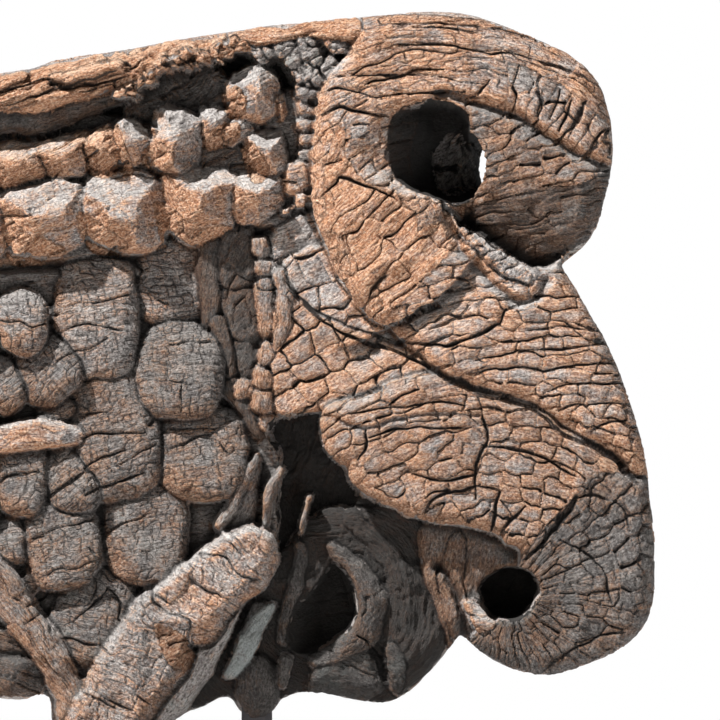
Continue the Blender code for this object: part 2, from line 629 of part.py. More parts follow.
def make_cutters(collection):
    """The saw cuts at the wall end and under the limb, and the socket for the post."""
    wide = 2 * CORBEL_LENGTH
    box("wall_saw_cut", collection, (-wide, -wide, -wide), (at_column(WALL_END), wide, wide))
    box("limb_saw_cut", collection, (-wide, -wide, -wide), (wide, wide, at_row(SAWN_END)))
    low, high = post_box(SOCKET_CLEARANCE, at_row(SAWN_END), post_top() + JOINT_GAP)
    box("post_socket", collection, low, high)
    for cutter in collection.objects:
        cutter.hide_render = True
        cutter.display_type = "WIRE"


def post_top():
    return at_row(POST_ENTRY_ROW) + POST_INTO_WOOD


def make_corbel(collection, cutters):
    plank = link(bpy.data.objects.new("sawn_plank", sawn_plank(collection)), collection)
    coarse = plank.modifiers.new("Even net", "REMESH")
    coarse.mode = "VOXEL"
    coarse.voxel_size = COARSE_VOXEL
    mesh = evaluated_mesh(plank)
    bpy.data.objects.remove(plank)
    carve_plank(mesh)

    corbel = link(bpy.data.objects.new("carved_corbel", mesh), collection)
    corbel.data.materials.append(material("weathered hardwood", (0.33, 0.24, 0.19), 0.85, 0))
    fine = corbel.modifiers.new("Fine net", "REMESH")
    fine.mode = "VOXEL"
    fine.voxel_size = FINE_VOXEL
    fine.use_smooth_shade = True
    soften = corbel.modifiers.new("Soften", "SMOOTH")
    soften.factor = 0.5
    soften.iterations = 1
    faces = 2 * len(evaluated_mesh(corbel).polygons)
    thin = corbel.modifiers.new("Thin out", "DECIMATE")
    thin.ratio = CORBEL_TRIANGLES / faces
    thin.use_collapse_triangulate = True
    cut = corbel.modifiers.new("Saw cuts and socket", "BOOLEAN")
    cut.operation = "DIFFERENCE"
    cut.solver = "EXACT"
    cut.operand_type = "COLLECTION"
    cut.collection = cutters


def make_stand(collection):
    """A square steel post in its socket, standing on a steel plate."""
    steel = material("dark painted steel", (0.016, 0.013, 0.018), 0.5, 0.6)
    low, high = post_box(0, FOOT_THICKNESS + JOINT_GAP, post_top())
    post = box("stand_post", collection, low, high)
    foot = box(
        "stand_foot",
        collection,
        (-FOOT_LENGTH / 2, -FOOT_WIDTH / 2, 0),
        (FOOT_LENGTH / 2, FOOT_WIDTH / 2, FOOT_THICKNESS),
    )
    for piece in (post, foot):
        piece.data.materials.append(steel)
        bevel = piece.modifiers.new("Edges", "BEVEL")
        bevel.width = STEEL_EDGE
        bevel.segments = 2


def main():
    for obj in list(bpy.data.objects):
        bpy.data.objects.remove(obj)
    parts = new_collection("carved corbel")
    cutters = new_collection("cutters")
    make_cutters(cutters)
    make_corbel(parts, cutters)
    make_stand(parts)


main()
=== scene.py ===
"""The looks of a carved wooden corbel on its steel stand, in metres, +Z up, the carved face towards -Y."""

import itertools
import math

import bmesh
import bpy
import numpy as np
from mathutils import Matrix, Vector


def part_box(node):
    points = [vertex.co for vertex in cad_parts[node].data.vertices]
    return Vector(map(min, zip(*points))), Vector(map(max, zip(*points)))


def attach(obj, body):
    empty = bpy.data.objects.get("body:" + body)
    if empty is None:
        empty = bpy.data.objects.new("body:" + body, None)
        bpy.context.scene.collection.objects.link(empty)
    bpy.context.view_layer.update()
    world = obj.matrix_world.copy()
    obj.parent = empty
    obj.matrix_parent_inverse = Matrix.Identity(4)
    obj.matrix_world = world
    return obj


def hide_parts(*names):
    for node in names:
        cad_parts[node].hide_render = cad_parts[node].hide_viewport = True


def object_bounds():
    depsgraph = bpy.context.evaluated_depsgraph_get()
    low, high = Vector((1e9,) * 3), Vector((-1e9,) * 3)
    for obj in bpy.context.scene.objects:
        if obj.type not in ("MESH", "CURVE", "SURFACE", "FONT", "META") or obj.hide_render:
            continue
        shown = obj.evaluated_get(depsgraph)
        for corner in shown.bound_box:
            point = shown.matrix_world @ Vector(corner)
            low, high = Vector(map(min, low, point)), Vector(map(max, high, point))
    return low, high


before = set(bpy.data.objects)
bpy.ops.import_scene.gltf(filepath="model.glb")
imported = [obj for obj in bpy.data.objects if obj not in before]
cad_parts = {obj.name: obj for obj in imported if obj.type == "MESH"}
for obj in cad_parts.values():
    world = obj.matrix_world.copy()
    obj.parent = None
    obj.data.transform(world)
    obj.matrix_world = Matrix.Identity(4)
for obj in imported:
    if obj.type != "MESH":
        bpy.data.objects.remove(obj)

cad_box = [list(corner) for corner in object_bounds()]


# The timber
# One baulk of dense hardwood, sawn to the outline of the head, with the eye cut right through it.
# It is set out on a full-size drawing: X runs right and Y down, in divisions of about 0.83 mm.
LENGTH = 0.575
THICKNESS = 0.140
WALL_END = -36
NOSE = 654
SAWN_END = 775
BEYOND_THE_SAW = 14
division = LENGTH / (NOSE - WALL_END)
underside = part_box("carved_corbel")[0].z
middle_column = (WALL_END + NOSE) / 2

OUTLINE = [
    (-50, 85), (0, 74), (27, 70), (60, 60), (100, 54), (140, 47), (200, 37), (260, 28), (340, 20),
    (430, 13), (470, 16), (500, 26), (545, 44), (575, 60), (595, 80), (607, 110), (612, 150), (604, 200),
    (590, 238), (561, 265), (586, 308), (610, 352), (631, 407), (644, 455), (650, 505), (654, 560),
    (648, 615), (632, 638), (595, 660), (538, 674), (495, 660), (460, 635), (440, 660), (400, 698),
    (382, 703), (350, 699), (318, 693), (283, 699), (272, 712), (256, 719), (241, 712), (228, 698),
    (205, 706), (175, 720), (157, 747), (148, 789), (40, 789), (48, 745), (51, 715), (46, 696),
    (22, 699), (-50, 690),
]
CORNERS = {(-50, 85), (561, 265), (460, 635), (148, 789), (40, 789), (-50, 690)}
EYE = (482, 166)
EYE_HALF = (31, 37)
WELD = 1e-6
FIRST_VOXEL = 0.0011


def at_column(column):
    """World X of a column of the drawing."""
    return (column - middle_column) * division


def at_row(row):
    """World Z of a row of the drawing."""
    return underside + (SAWN_END - row) * division


def add_loop(curve, points):
    """A closed Bezier outline, smooth but for its named corners."""
    loop = curve.splines.new("BEZIER")
    loop.bezier_points.add(len(points) - 1)
    for knot, (column, row) in zip(loop.bezier_points, points):
        knot.co = (at_column(column), at_row(row), 0)
        kind = "VECTOR" if (column, row) in CORNERS else "AUTO"
        knot.handle_left_type = kind
        knot.handle_right_type = kind
    loop.use_cyclic_u = True


def applied(piece):
    """Applies a piece's modifiers and returns its mesh as arrays can change it."""
    graph = bpy.context.evaluated_depsgraph_get()
    mesh = bpy.data.meshes.new_from_object(piece.evaluated_get(graph))
    piece.modifiers.clear()
    old = piece.data
    piece.data = mesh
    if old.users == 0 and isinstance(old, bpy.types.Mesh):
        bpy.data.meshes.remove(old)
    return mesh


def even_net(piece, voxel):
    """Wraps a piece in an even net of small squares."""
    net = piece.modifiers.new("Even net", "REMESH")
    net.mode = "VOXEL"
    net.voxel_size = voxel
    net.use_smooth_shade = True
    return applied(piece)


outline = bpy.data.curves.new("outline", "CURVE")
outline.dimensions = "2D"
outline.fill_mode = "BOTH"
outline.extrude = THICKNESS / 2
add_loop(outline, OUTLINE)
add_loop(outline, [
    (EYE[0] + a * EYE_HALF[0], EYE[1] + b * EYE_HALF[1]) for a, b in ((1, 0), (0, 1), (-1, 0), (0, -1))
])
plank = bpy.data.objects.new("plank", outline)
bpy.context.scene.collection.objects.link(plank)
bpy.context.view_layer.update()
mesh = bpy.data.meshes.new_from_object(plank.evaluated_get(bpy.context.evaluated_depsgraph_get()))
bpy.data.objects.remove(plank)
welded = bmesh.new()
welded.from_mesh(mesh)
bmesh.ops.remove_doubles(welded, verts=welded.verts, dist=WELD)
bmesh.ops.recalc_face_normals(welded, faces=welded.faces)
for vertex in welded.verts:
    vertex.co = (max(vertex.co.x, at_column(WALL_END)), -vertex.co.z, max(vertex.co.y, underside))
bmesh.ops.recalc_face_normals(welded, faces=welded.faces)
welded.to_mesh(mesh)
welded.free()
corbel = bpy.data.objects.new("weathered_corbel", mesh)
bpy.context.scene.collection.objects.link(corbel)
mesh = even_net(corbel, FIRST_VOXEL)


# The carving
# The face was cut by hand in relief, up to 60 mm deep: a plank edge, beads and scales on a sunk
# ground, and the big rounded forms of the head. Each form keeps its own grain and way of splitting.
NET_SPACING = 1.0
NET_MARGIN = 12
GROUND = -72
PANEL = -50
# Each form's tones: warmth, lichen, and dirt together with painted shade.
TONES = ("warm", "lichen", "dirt_and_shade")


def catmull_rom(before, start, end, further, t):
    """A point of the smooth curve that passes through start and end."""
    return 0.5 * (
        2 * start
        + (end - before) * t
        + (2 * before - 5 * start + 4 * end - further) * t**2
        + (3 * start - before - 3 * end + further) * t**3
    )


def smooth_loop(points, steps=8):
    """A closed smooth curve through the points."""
    p = np.array(points, float)
    t = (np.arange(steps) / steps)[:, None, None]
    curve = catmull_rom(np.roll(p, 1, 0), p, np.roll(p, -1, 0), np.roll(p, -2, 0), t)
    return curve.transpose(1, 0, 2).reshape(-1, 2)


def smooth_line(points, steps=8):
    """An open smooth curve through the points."""
    p = np.array(points, float)
    p = np.concatenate([2 * p[:1] - p[1:2], p, 2 * p[-1:] - p[-2:-1]])
    t = (np.arange(steps) / steps)[:, None, None]
    curve = catmull_rom(p[:-3], p[1:-2], p[2:-1], p[3:], t).transpose(1, 0, 2).reshape(-1, 2)
    return np.concatenate([curve, p[-2:-1]])


def rounded_fall(inside, reach, drop):
    """How far a surface falls near an edge: a quarter ellipse, reach wide and drop deep."""
    s = np.clip(1 - inside / reach, 0, 1)
    return drop * (1 - np.sqrt(1 - s * s))


def straight(angle):
    """Grain in one direction, in degrees above level."""
    c, s = math.cos(math.radians(angle)), math.sin(math.radians(angle))
    return lambda x, y: (x * c - y * s, x * s + y * c)


def ringed(column, row, radius):
    """Grain in rings round a middle, with its seam straight below the middle."""
    return lambda x, y: (radius * np.arctan2(x - column, row - y), np.hypot(x - column, y - row))


def rayed(column, row, radius):
    """Grain in rays out from a middle."""
    return lambda x, y: (np.hypot(x - column, y - row), radius * np.arctan2(x - column, row - y))


KNOB_REACH = 1.7
FACET_SWING = 26


class Face:
    """The carved face: a net of depths behind the front plane, and the form that each point belongs to."""

    def __init__(self):
        self.columns = np.arange(WALL_END - 2 * BEYOND_THE_SAW, NOSE + NET_MARGIN, NET_SPACING)
        self.rows = np.arange(0, SAWN_END + 2 * BEYOND_THE_SAW, NET_SPACING)
        self.x, self.y = np.meshgrid(self.columns, self.rows)
        self.depth = np.full(self.x.shape, float(GROUND))
        self.form = np.zeros(self.x.shape, np.int8)
        self.piece = np.zeros(self.x.shape, np.int16)
        self.forms = []
        self.pieces = 0

    def begin(self, grain, block, split, lift, strands, tones, **more):
        """What is carved from here on belongs to a new form, with its own grain, length and height of
        brick, width, depth and share of open joints, lift of bricks and of fibres, and the tones above."""
        facts = {"grain": grain, "block": block, "split": split, "lift": lift, "strands": strands}
        self.forms.append({**facts, **dict(zip(TONES, tones)), **more})
        self.now = len(self.forms) - 1

    def window(self, points, margin):
        """The part of the net that lies within a margin of the points."""
        low = (np.min(points, 0) - margin - (self.columns[0], self.rows[0])) / NET_SPACING
        high = (np.max(points, 0) + margin - (self.columns[0], self.rows[0])) / NET_SPACING
        low = np.maximum(low, 0).astype(int)
        high = np.maximum(high + 2, 0).astype(int)
        return slice(low[1], high[1]), slice(low[0], high[0])

    def line_distance(self, line, at):
        """The net's distance to an open line, and the side of the line that it is on."""
        x, y = self.x[at], self.y[at]
        nearest = np.full(x.shape, np.inf)
        side = np.zeros(x.shape)
        for (ax, ay), (bx, by) in zip(line[:-1], line[1:]):
            dx, dy = bx - ax, by - ay
            t = np.clip(((x - ax) * dx + (y - ay) * dy) / (dx * dx + dy * dy), 0, 1)
            d = (x - ax - t * dx) ** 2 + (y - ay - t * dy) ** 2
            side = np.where(d < nearest, np.sign(dx * (y - ay) - dy * (x - ax)), side)
            nearest = np.minimum(nearest, d)
        return np.sqrt(nearest), side

    def inside_distance(self, loop, at):
        """The net's distance to a closed outline, positive inside it."""
        x, y = self.x[at], self.y[at]
        odd = np.zeros(x.shape, bool)
        for (ax, ay), (bx, by) in zip(loop, np.roll(loop, -1, 0)):
            if ay != by:
                odd ^= ((ay > y) != (by > y)) & (x < ax + (y - ay) * (bx - ax) / (by - ay))
        distance, _ = self.line_distance(np.concatenate([loop, loop[:1]]), at)
        return np.where(odd, distance, -distance)

    def raise_to(self, at, depth, where, blend=0):
        """Lifts the face to a piece of a form where that stands prouder; blend softens the join."""
        self.pieces += 1
        old = self.depth[at]
        new = np.maximum(old, depth)
        if blend:
            new = new + np.maximum(blend - np.abs(old - depth), 0) ** 2 / (4 * blend)
        self.form[at] = np.where(where & (depth > old), self.now, self.form[at])
        self.piece[at] = np.where(where & (depth > old), self.pieces, self.piece[at])
        self.depth[at] = np.where(where, new, old)

    def lobe(self, points, level, reach, drop, slope=0, blend=0):
        """A flat lobe whose edge is rounded, reach wide and drop deep; slope lifts it to the right."""
        loop = smooth_loop(points)
        at = self.window(loop, 1)
        inside = self.inside_distance(loop, at)
        depth = level + slope * (self.x[at] - loop[:, 0].mean()) - rounded_fall(inside, reach, drop)
        self.raise_to(at, depth, inside > 0, blend)

    def bar(self, rows, reach, drop):
        """A rounded bar that swells and sinks along its rows of column, row, half width and crest depth."""
        points = np.array(rows, float)
        at = self.window(points[:, :2], points[:, 2].max() + 1)
        x, y = self.x[at], self.y[at]
        depth = np.full(x.shape, -np.inf)
        for (ax, ay, ar, ad), (bx, by, br, bd) in zip(points[:-1], points[1:]):
            dx, dy = bx - ax, by - ay
            t = np.clip(((x - ax) * dx + (y - ay) * dy) / (dx * dx + dy * dy), 0, 1)
            half = ar + t * (br - ar)
            inside = half - np.hypot(x - ax - t * dx, y - ay - t * dy)
            own = ad + t * (bd - ad) - rounded_fall(inside, np.minimum(reach, half), drop)
            depth = np.where(inside > 0, np.maximum(depth, own), depth)
        self.raise_to(at, depth, np.isfinite(depth))

    def knob(self, row, drop, reach=0.6, square=2.6, lean=0, facets=(), tuck=1.0, swing=0):
        """A rounded block from its column, row, half width, half height, level and turn. Lean brings its
        lower end forward and swing its right side, facets are the ways that its broken flats face, and a
        tuck under 1 runs its upper end on under what lies above."""
        column, middle, across, up, level, turn = row
        size = KNOB_REACH * max(across, up)
        at = self.window([(column - size, middle - size), (column + size, middle + size)], 0)
        c, s = math.cos(math.radians(turn)), math.sin(math.radians(turn))
        u = ((self.x[at] - column) * c + (self.y[at] - middle) * s) / across
        v = ((self.y[at] - middle) * c - (self.x[at] - column) * s) / up
        ring = (np.abs(u) ** square + np.abs(np.where(v < 0, tuck * v, v)) ** square) ** (1 / square)
        half = min(across, up)
        depth = level + lean * v + swing * u - rounded_fall((1 - ring) * half, reach * half, drop)
        for facing in facets:
            place = np.array([[column, facing]])
            turned, steep, set_off = (chance(place, middle + 9 * count)[0] for count in range(3))
            angle = math.radians(facing + FACET_SWING * turned - FACET_SWING / 2)
            fall = u * math.cos(angle) + v * math.sin(angle)
            depth = np.minimum(depth, level + drop * (0.08 + 0.26 * set_off - (0.55 + 0.65 * steep) * fall))
            ring = np.maximum(ring, fall * (0.92 + 0.18 * steep))
        self.raise_to(at, depth, ring < 1)

    def claim(self, points):
        """Gives the face inside an outline to the present form, as deep as it is."""
        loop = smooth_loop(points)
        at = self.window(loop, 1)
        self.form[at] = np.where(self.inside_distance(loop, at) > 0, self.now, self.form[at])

    def bevel(self, points, width, depth):
        """Slopes the present form down to the right of a line."""
        line = smooth_line(points)
        at = self.window(line, width + 1)
        distance, side = self.line_distance(line, at)
        own = (side > 0) & (self.form[at] == self.now)
        self.depth[at] -= np.where(own, depth * np.clip(distance / width, 0, 1), 0)

    def groove(self, points, width, depth):
        """A V-shaped groove along a line."""
        line = smooth_line(points)
        at = self.window(line, width + 1)
        distance, _ = self.line_distance(line, at)
        self.depth[at] -= depth * np.clip(1 - distance / width, 0, 1) ** 1.3

    def step_down(self, points, width, depth):
        """Lowers the face to the right of a line: sheer at the line and fading out over width."""
        line = smooth_line(points)
        at = self.window(line, width + 1)
        distance, side = self.line_distance(line, at)
        share = np.clip(1 - distance / width, 0, 1) ** 2
        self.depth[at] -= np.where(side > 0, depth * share, 0)

    def sink(self, points, floor, edge):
        """A pocket: the face drops to the floor inside the outline."""
        loop = smooth_loop(points)
        at = self.window(loop, edge + 1)
        inside = self.inside_distance(loop, at)
        share = np.clip(inside / edge, 0, 1)
        share = share * share * (3 - 2 * share)
        low = np.minimum(self.depth[at], floor(self.x[at]))
        self.form[at] = np.where(inside > 0, self.now, self.form[at])
        self.depth[at] += (low - self.depth[at]) * share

    def read(self, values, column, row):
        """The net's values at any points, in straight lines between its knots."""
        i = np.clip((column - self.columns[0]) / NET_SPACING, 0, len(self.columns) - 1.001)
        j = np.clip((row - self.rows[0]) / NET_SPACING, 0, len(self.rows) - 1.001)
        i0, j0 = i.astype(int), j.astype(int)
        fi, fj = i - i0, j - j0
        upper = values[j0, i0] * (1 - fi) + values[j0, i0 + 1] * fi
        lower = values[j0 + 1, i0] * (1 - fi) + values[j0 + 1, i0 + 1] * fi
        return upper * (1 - fj) + lower * fj

    def form_at(self, column, row):
        """The form that each point belongs to."""
        i = np.clip((column - self.columns[0]) / NET_SPACING + 0.5, 0, len(self.columns) - 1)
        j = np.clip((row - self.rows[0]) / NET_SPACING + 0.5, 0, len(self.rows) - 1)
        return self.form[j.astype(int), i.astype(int)]


def chance(cells, salt):
    """A fixed random value from 0 to 1 for each row of whole numbers."""
    weights = np.array([12.9898, 78.233, 37.719])[: cells.shape[1]]
    value = np.sin(cells @ weights + salt * 4.1414) * 43758.5453
    return value - np.floor(value)


face = Face()

# The sunk ground between the forms, rough from the gouge and split along the grain, darkened with painted
# shade.
face.begin(straight(8), (50, 24), (1.4, 3.5, 0.5), 1.0, 1.2, (0.2, 0.15, 0.55))
face.lobe([
    (-70, 120), (130, 118), (250, 95), (300, 110), (300, 240), (290, 420), (270, 560), (200, 640),
    (60, 740), (-70, 740),
], PANEL, 12, 10)
face.lobe([(-70, 250), (120, 250), (215, 230), (250, 440), (190, 570), (90, 680), (-70, 700)], -50, 10, 10)
face.lobe([
    (205, 190), (250, 120), (350, 70), (360, 220), (370, 300), (340, 390), (262, 420), (215, 350),
], -40, 8, 10)
# The deepest hollow, behind the collar, is painted near black with shade.
face.begin(straight(60), (60, 20), (1.3, 3.5, 0.4), 1.0, 1.6, (0.1, 0.1, 2.5))
face.lobe([(205, 420), (330, 400), (350, 480), (330, 570), (262, 590), (200, 570)], -74, 8, 10)


# The plank edge along the top: bare end wood, split into long splinters, with crumbled
# lumps at its inner end and a deep shaded recess beneath it.
# Its underside is darkened with painted shade.
face.begin(straight(20), (90, 13), (1.5, 4, 0.6), 2.4, 3.0, (0.2, 0.15, 0.85), long=60)
face.bar([(-60, 109, 37, -20), (40, 100, 35, -20), (90, 88, 28, -22), (122, 80, 22, -24)], 22, 26)
face.begin(straight(19), (80, 10), (1.6, 6, 0.75), 3.2, 3.4, (1.4, -0.5, -0.3), long=55)
face.bar([(-60, 99, 24, -3), (40, 88, 26, -3), (85, 76, 24, -5), (118, 68, 20, -7)], 15, 18)
face.begin(straight(21), (90, 20), (1.3, 3, 0.3), 1.0, 2.2, (2.0, -0.5, 0.15), long=70)
for splinter in [[(56, 83, 7, 5), (84, 74, 10, 6), (116, 65, 8, 4)], [(-20, 89, 13, 3), (24, 77, 9, 2)]]:
    face.bar(splinter, 8, 16)
# The recess beneath the lip is darkened with painted shade.
face.begin(straight(32), (40, 12), (1.4, 4, 0.5), 2.4, 3.4, (0.25, 0.3, 0.8), crumb=3.0)
face.lobe([
    (122, 106), (150, 80), (205, 62), (226, 70), (232, 104), (205, 118), (160, 124), (128, 122),
], -34, 12, 14)
face.begin(straight(22), (26, 11), (1.4, 4, 0.4), 2.6, 2.6, (1.2, -0.5, -0.6), crumb=1.8)
face.bar([(112, 70, 22, -7), (160, 58, 17, -10), (200, 48, 14, -14), (245, 41, 12, -18)], 14, 20)
for count in range(34):
    along, size, off = (chance(np.array([[count, 5]]), turn)[0] for turn in (1, 2, 3))
    crumb = (118 + 130 * along, 95 - 50 * along**0.8 + 13 * (off - 0.6), 6 + 7 * size, 4 + 5 * size)
    face.knob((*crumb, 4 - 11 * along - 5 * off, 60 * off - 40), 9, 0.9, 3, 0, (0, 90, 180, 270))
face.begin(straight(9), (60, 9), (1.4, 4, 0.5), 2.4, 2.4, (0.85, 0.0, 0.0), long=50, crumb=0.8)
face.bar([
    (240, 38, 12, -13), (300, 30, 13, -10), (345, 26, 13, -5), (400, 20, 9, 0), (490, 24, 7, 0),
    (550, 48, 6, 0),
], 8, 14)
face.begin(straight(30), (11, 9), (1.4, 3, 0.5), 2.0, 0.4, (0.05, 0.45, 0.4), crumb=0.9)
face.lobe([(246, 50), (280, 34), (322, 32), (324, 98), (300, 100), (282, 66), (262, 62)], -30, 8, 14)
for count in range(26):
    across, size, off = (chance(np.array([[count, 8]]), turn)[0] for turn in (4, 5, 6))
    lump = (256 + 74 * across, 40 + 50 * off * (0.25 + across), 9 + 10 * size, 8 + 7 * size)
    face.knob((*lump, -13 - 9 * off, 90 * size), 9, 0.9, 2.6)


# Two rows of beads under the plank edge, once round, now broken to flats with furry torn
# edges, and a string of small beads that hangs beside the head.
# The web between and under the bead rows is darkened with painted shade.
face.begin(straight(20), (40, 16), (1.3, 4, 0.4), 1.6, 2.0, (0.6, 0.0, 0.75), crumb=1.2)
face.bar([(-60, 184, 30, -31), (60, 176, 27, -31), (130, 160, 24, -31), (240, 158, 20, -31)], 12, 16)
face.bar([(120, 148, 16, -34), (200, 136, 18, -34), (262, 140, 16, -36)], 12, 16)
face.bar([(-60, 224, 22, -38), (60, 214, 20, -38), (250, 196, 16, -38)], 14, 16)
face.begin(straight(24), (46, 16), (1.3, 4, 0.4), 1.6, 2.0, (0.85, 0.0, 0.0), crumb=0.6)
for bead in [
    (-26, 172, 34, 26, -8, -14), (20, 165, 34, 26, -8, -16), (66, 158, 34, 25, -8, -12),
    (104, 151, 27, 24, -6, -28), (284, 108, 7, 18, -22, 0),
]:
    face.knob(bead, 36, 0.9, 3.4, -4, facets=(-82, -20, 40, 95, 160))
face.begin(straight(20), (50, 26), (1.2, 2.5, 0.35), 1.0, 1.4, (0.45, 0.1, 0.05), crumb=1.2, ridges=2.2)
for bead in [
    (129, 144, 23, 26, -5, 15), (156, 131, 12, 11, -16, 0), (214, 130, 22, 24, -11, 5),
    (238, 134, 24, 20, -16, -35), (266, 153, 24, 30, -10, -15),
]:
    face.knob(bead, 38, 0.9, 3.4, -4, facets=(-78, 25, 80, 140, 205))
face.knob((255, 95, 31, 32, -4, -15), 36, 1.0, 2.6, -4, facets=(-80, -25, 25, 85, 150))
face.knob((177, 141, 32, 33, 5, 10), 46, 0.8, 3.2, 6, facets=(-78, 20, 150, 205))
face.begin(straight(16), (62, 26), (1.2, 3, 0.4), 1.0, 1.4, (0.6, 0.0, 0.05), crumb=1.2, ridges=2.2)
for bead in [
    (-30, 229, 44, 35, -6, 0), (48, 221, 49, 41, 0, -14), (124, 213, 49, 44, 1, -6),
    (198, 206, 46, 41, 1, -4), (254, 197, 33, 35, -7, 0),
]:
    face.knob(bead, 44, 0.9, 3.6, -5, facets=(-76, 20, 62, 118, 170))
face.begin(straight(30), (20, 12), (1.4, 4, 0.5), 1.8, 2.4, (1.6, -0.5, 0.1), crumb=1.8)
for patch in [
    [(6, 222), (30, 234), (66, 250), (44, 266), (12, 262)],
    [(80, 212), (104, 226), (126, 246), (106, 260), (84, 244)],
    [(154, 200), (176, 212), (184, 240), (168, 250), (156, 228)],
    [(146, 150), (165, 144), (178, 160), (162, 176), (146, 164)],
    [(84, 136), (112, 130), (127, 150), (120, 172), (88, 176)],
    [(226, 95), (240, 86), (250, 108), (238, 124), (226, 112)],
    [(244, 150), (256, 143), (269, 170), (259, 184), (246, 172)],
    [(206, 142), (236, 126), (243, 138), (216, 154)],
    [(186, 236), (225, 226), (232, 240), (196, 252)],
    [(116, 126), (122, 138), (136, 168), (126, 176), (112, 150)],
]:
    face.claim(patch)
face.begin(straight(16), (30, 18), (1.2, 3, 0.4), 1.0, 1.1, (0.6, 0.0, 0.1), crumb=0.5)
for block in [(296, 178, 14, 19, -20, 0), (302, 203, 8, 10, -16, 0), (286, 212, 7, 6, -20, 0)]:
    face.knob(block, 14, 0.5, 3.5)
face.begin(straight(20), (20, 16), (1.2, 3, 0.4), 1.0, 1.0, (0.3, 0.2, 0.35))
for count in range(8):
    face.knob((306 + count % 2, 97 + 15 * count, 10, 8, -28, 0), 10, square=3)
face.lobe([(258, 236), (300, 216), (326, 212), (345, 262), (322, 264), (290, 254), (270, 268)], -34, 8, 8)


# The deep cut that parts the beads from the scales, run in with a gouge from the wall end
# to the head.
face.groove([
    (-40, 264), (10, 266), (52, 268), (92, 262), (110, 258), (138, 262), (162, 250), (205, 252),
    (236, 238), (268, 232),
], 8, 18)


# Scales that overlap downwards like roof tiles, dense and finely checked into squares, with
# smaller blocks between them and a bar across them at the left. The last two values of a
# scale are its squareness and its tuck.
SCALES = [
    (96, 319, 45, 62, -26, -3, 3.0, 1), (172, 279, 42, 52, -43, 0, 2.6, 0.5),
    (178, 376, 52, 46, -18, 0, 2.3, 0.8), (117, 438, 48, 63, -22, -8, 3, 0.6),
    (202, 462, 51, 42, -20, 0, 2.3, 0.6), (146, 536, 45, 53, -23, 0, 2.6, 0.6),
    (92, 613, 39, 55, -28, 20, 2.4, 0.7), (22, 322, 29, 37, -15, 0, 2.1, 1),
    (48, 372, 35, 36, -20, -35, 2.6, 0.8), (57, 408, 25, 17, -32, -15, 2.6, 1),
    (6, 386, 22, 28, -26, -30, 2.5, 0.8), (22, 481, 31, 37, -20, 0, 2.6, 0.8),
    (71, 484, 33, 34, -21, -30, 2.6, 0.8), (62, 542, 42, 47, -18, -10, 2.6, 0.7),
    (8, 543, 23, 26, -26, 0, 2.5, 0.8), (-28, 322, 29, 37, -20, 0, 2.4, 1),
    (-28, 386, 25, 30, -28, 0, 2.4, 0.8), (-30, 481, 29, 37, -24, 0, 2.6, 0.8),
    (-26, 543, 23, 27, -26, 0, 2.5, 0.8),
]
for *row, square, tuck in SCALES:
    face.begin(
        straight(6 - row[5]), (70, 40), (1.3, 4, 0.42), 0.8, 0.5,
        (0.4, 0.12 + 0.3 * (row[1] > 500), 0.5 + 0.14 * (row[1] > 350)), crumb=0.3,
        fine=((10, 7.5), 1.1), ridges=1.0, weave=1.0,
    )
    face.knob(row, 24, 0.6, square, 9, tuck=tuck, swing=5 * (row[1] > 290))
face.begin(straight(4), (60, 18), (1.2, 3, 0.35), 1.0, 1.6, (0.55, 0.05, 0.0))
face.bar([(-60, 437, 16, -14), (40, 434, 17, -14), (76, 434, 12, -20)], 12, 16)


# The collar between the scales and the head: a flute, pointed plates, a column of beads, a
# twisted pair and leaves, then the cheek and a fan of small blocks.
# The collar's flutes and plates are darkened with painted shade.
face.begin(straight(84), (70, 30), (1.2, 3, 0.4), 0.6, 1.0, (0.5, 0.1, 0.88), long=50)
for strip in [[(212, 228, 13, -33), (212, 322, 13, -35)], [(219, 322, 13, -30), (232, 374, 12, -30)]]:
    face.bar(strip, 11, 12)
face.bar([(229, 372, 12, -30), (246, 402, 11, -32), (262, 434, 10, -36)], 9, 12)
face.begin(straight(60), (27, 20), (1.3, 3.5, 0.7), 1.2, 0.9, (0.45, 0.15, 0.88), crumb=0.6)
for plate, level in [
    ([(220, 218), (248, 220), (257, 254), (250, 286), (226, 292), (218, 262)], -31),
    ([(222, 284), (246, 278), (266, 304), (270, 324), (258, 344), (228, 342)], -32),
    ([(228, 336), (256, 336), (262, 358), (256, 380), (238, 384), (230, 362)], -33),
]:
    face.lobe(plate, level, 10, 10)
face.begin(straight(80), (26, 24), (1.2, 3, 0.4), 1.0, 0.8, (0.5, 0.1, 0.5), crumb=0.7)
for strip in [
    [(263, 284, 13, -26), (270, 328, 12, -26)],
    [(277, 272, 9, -22), (286, 292, 11, -19), (287, 320, 11, -19), (277, 348, 9, -22)],
]:
    face.bar(strip, 9, 12)
for block in [
    (257, 246, 12, 11, -27, 0), (262, 265, 12, 11, -26, 0), (264, 283, 12, 11, -25, 0),
    (273, 352, 13, 15, -23, 10), (267, 376, 13, 16, -24, 8), (266, 400, 14, 15, -24, -5),
    (245, 388, 13, 13, -28, -12), (272, 422, 13, 13, -31, -12),
]:
    face.knob(block, 12, 0.7, square=3)
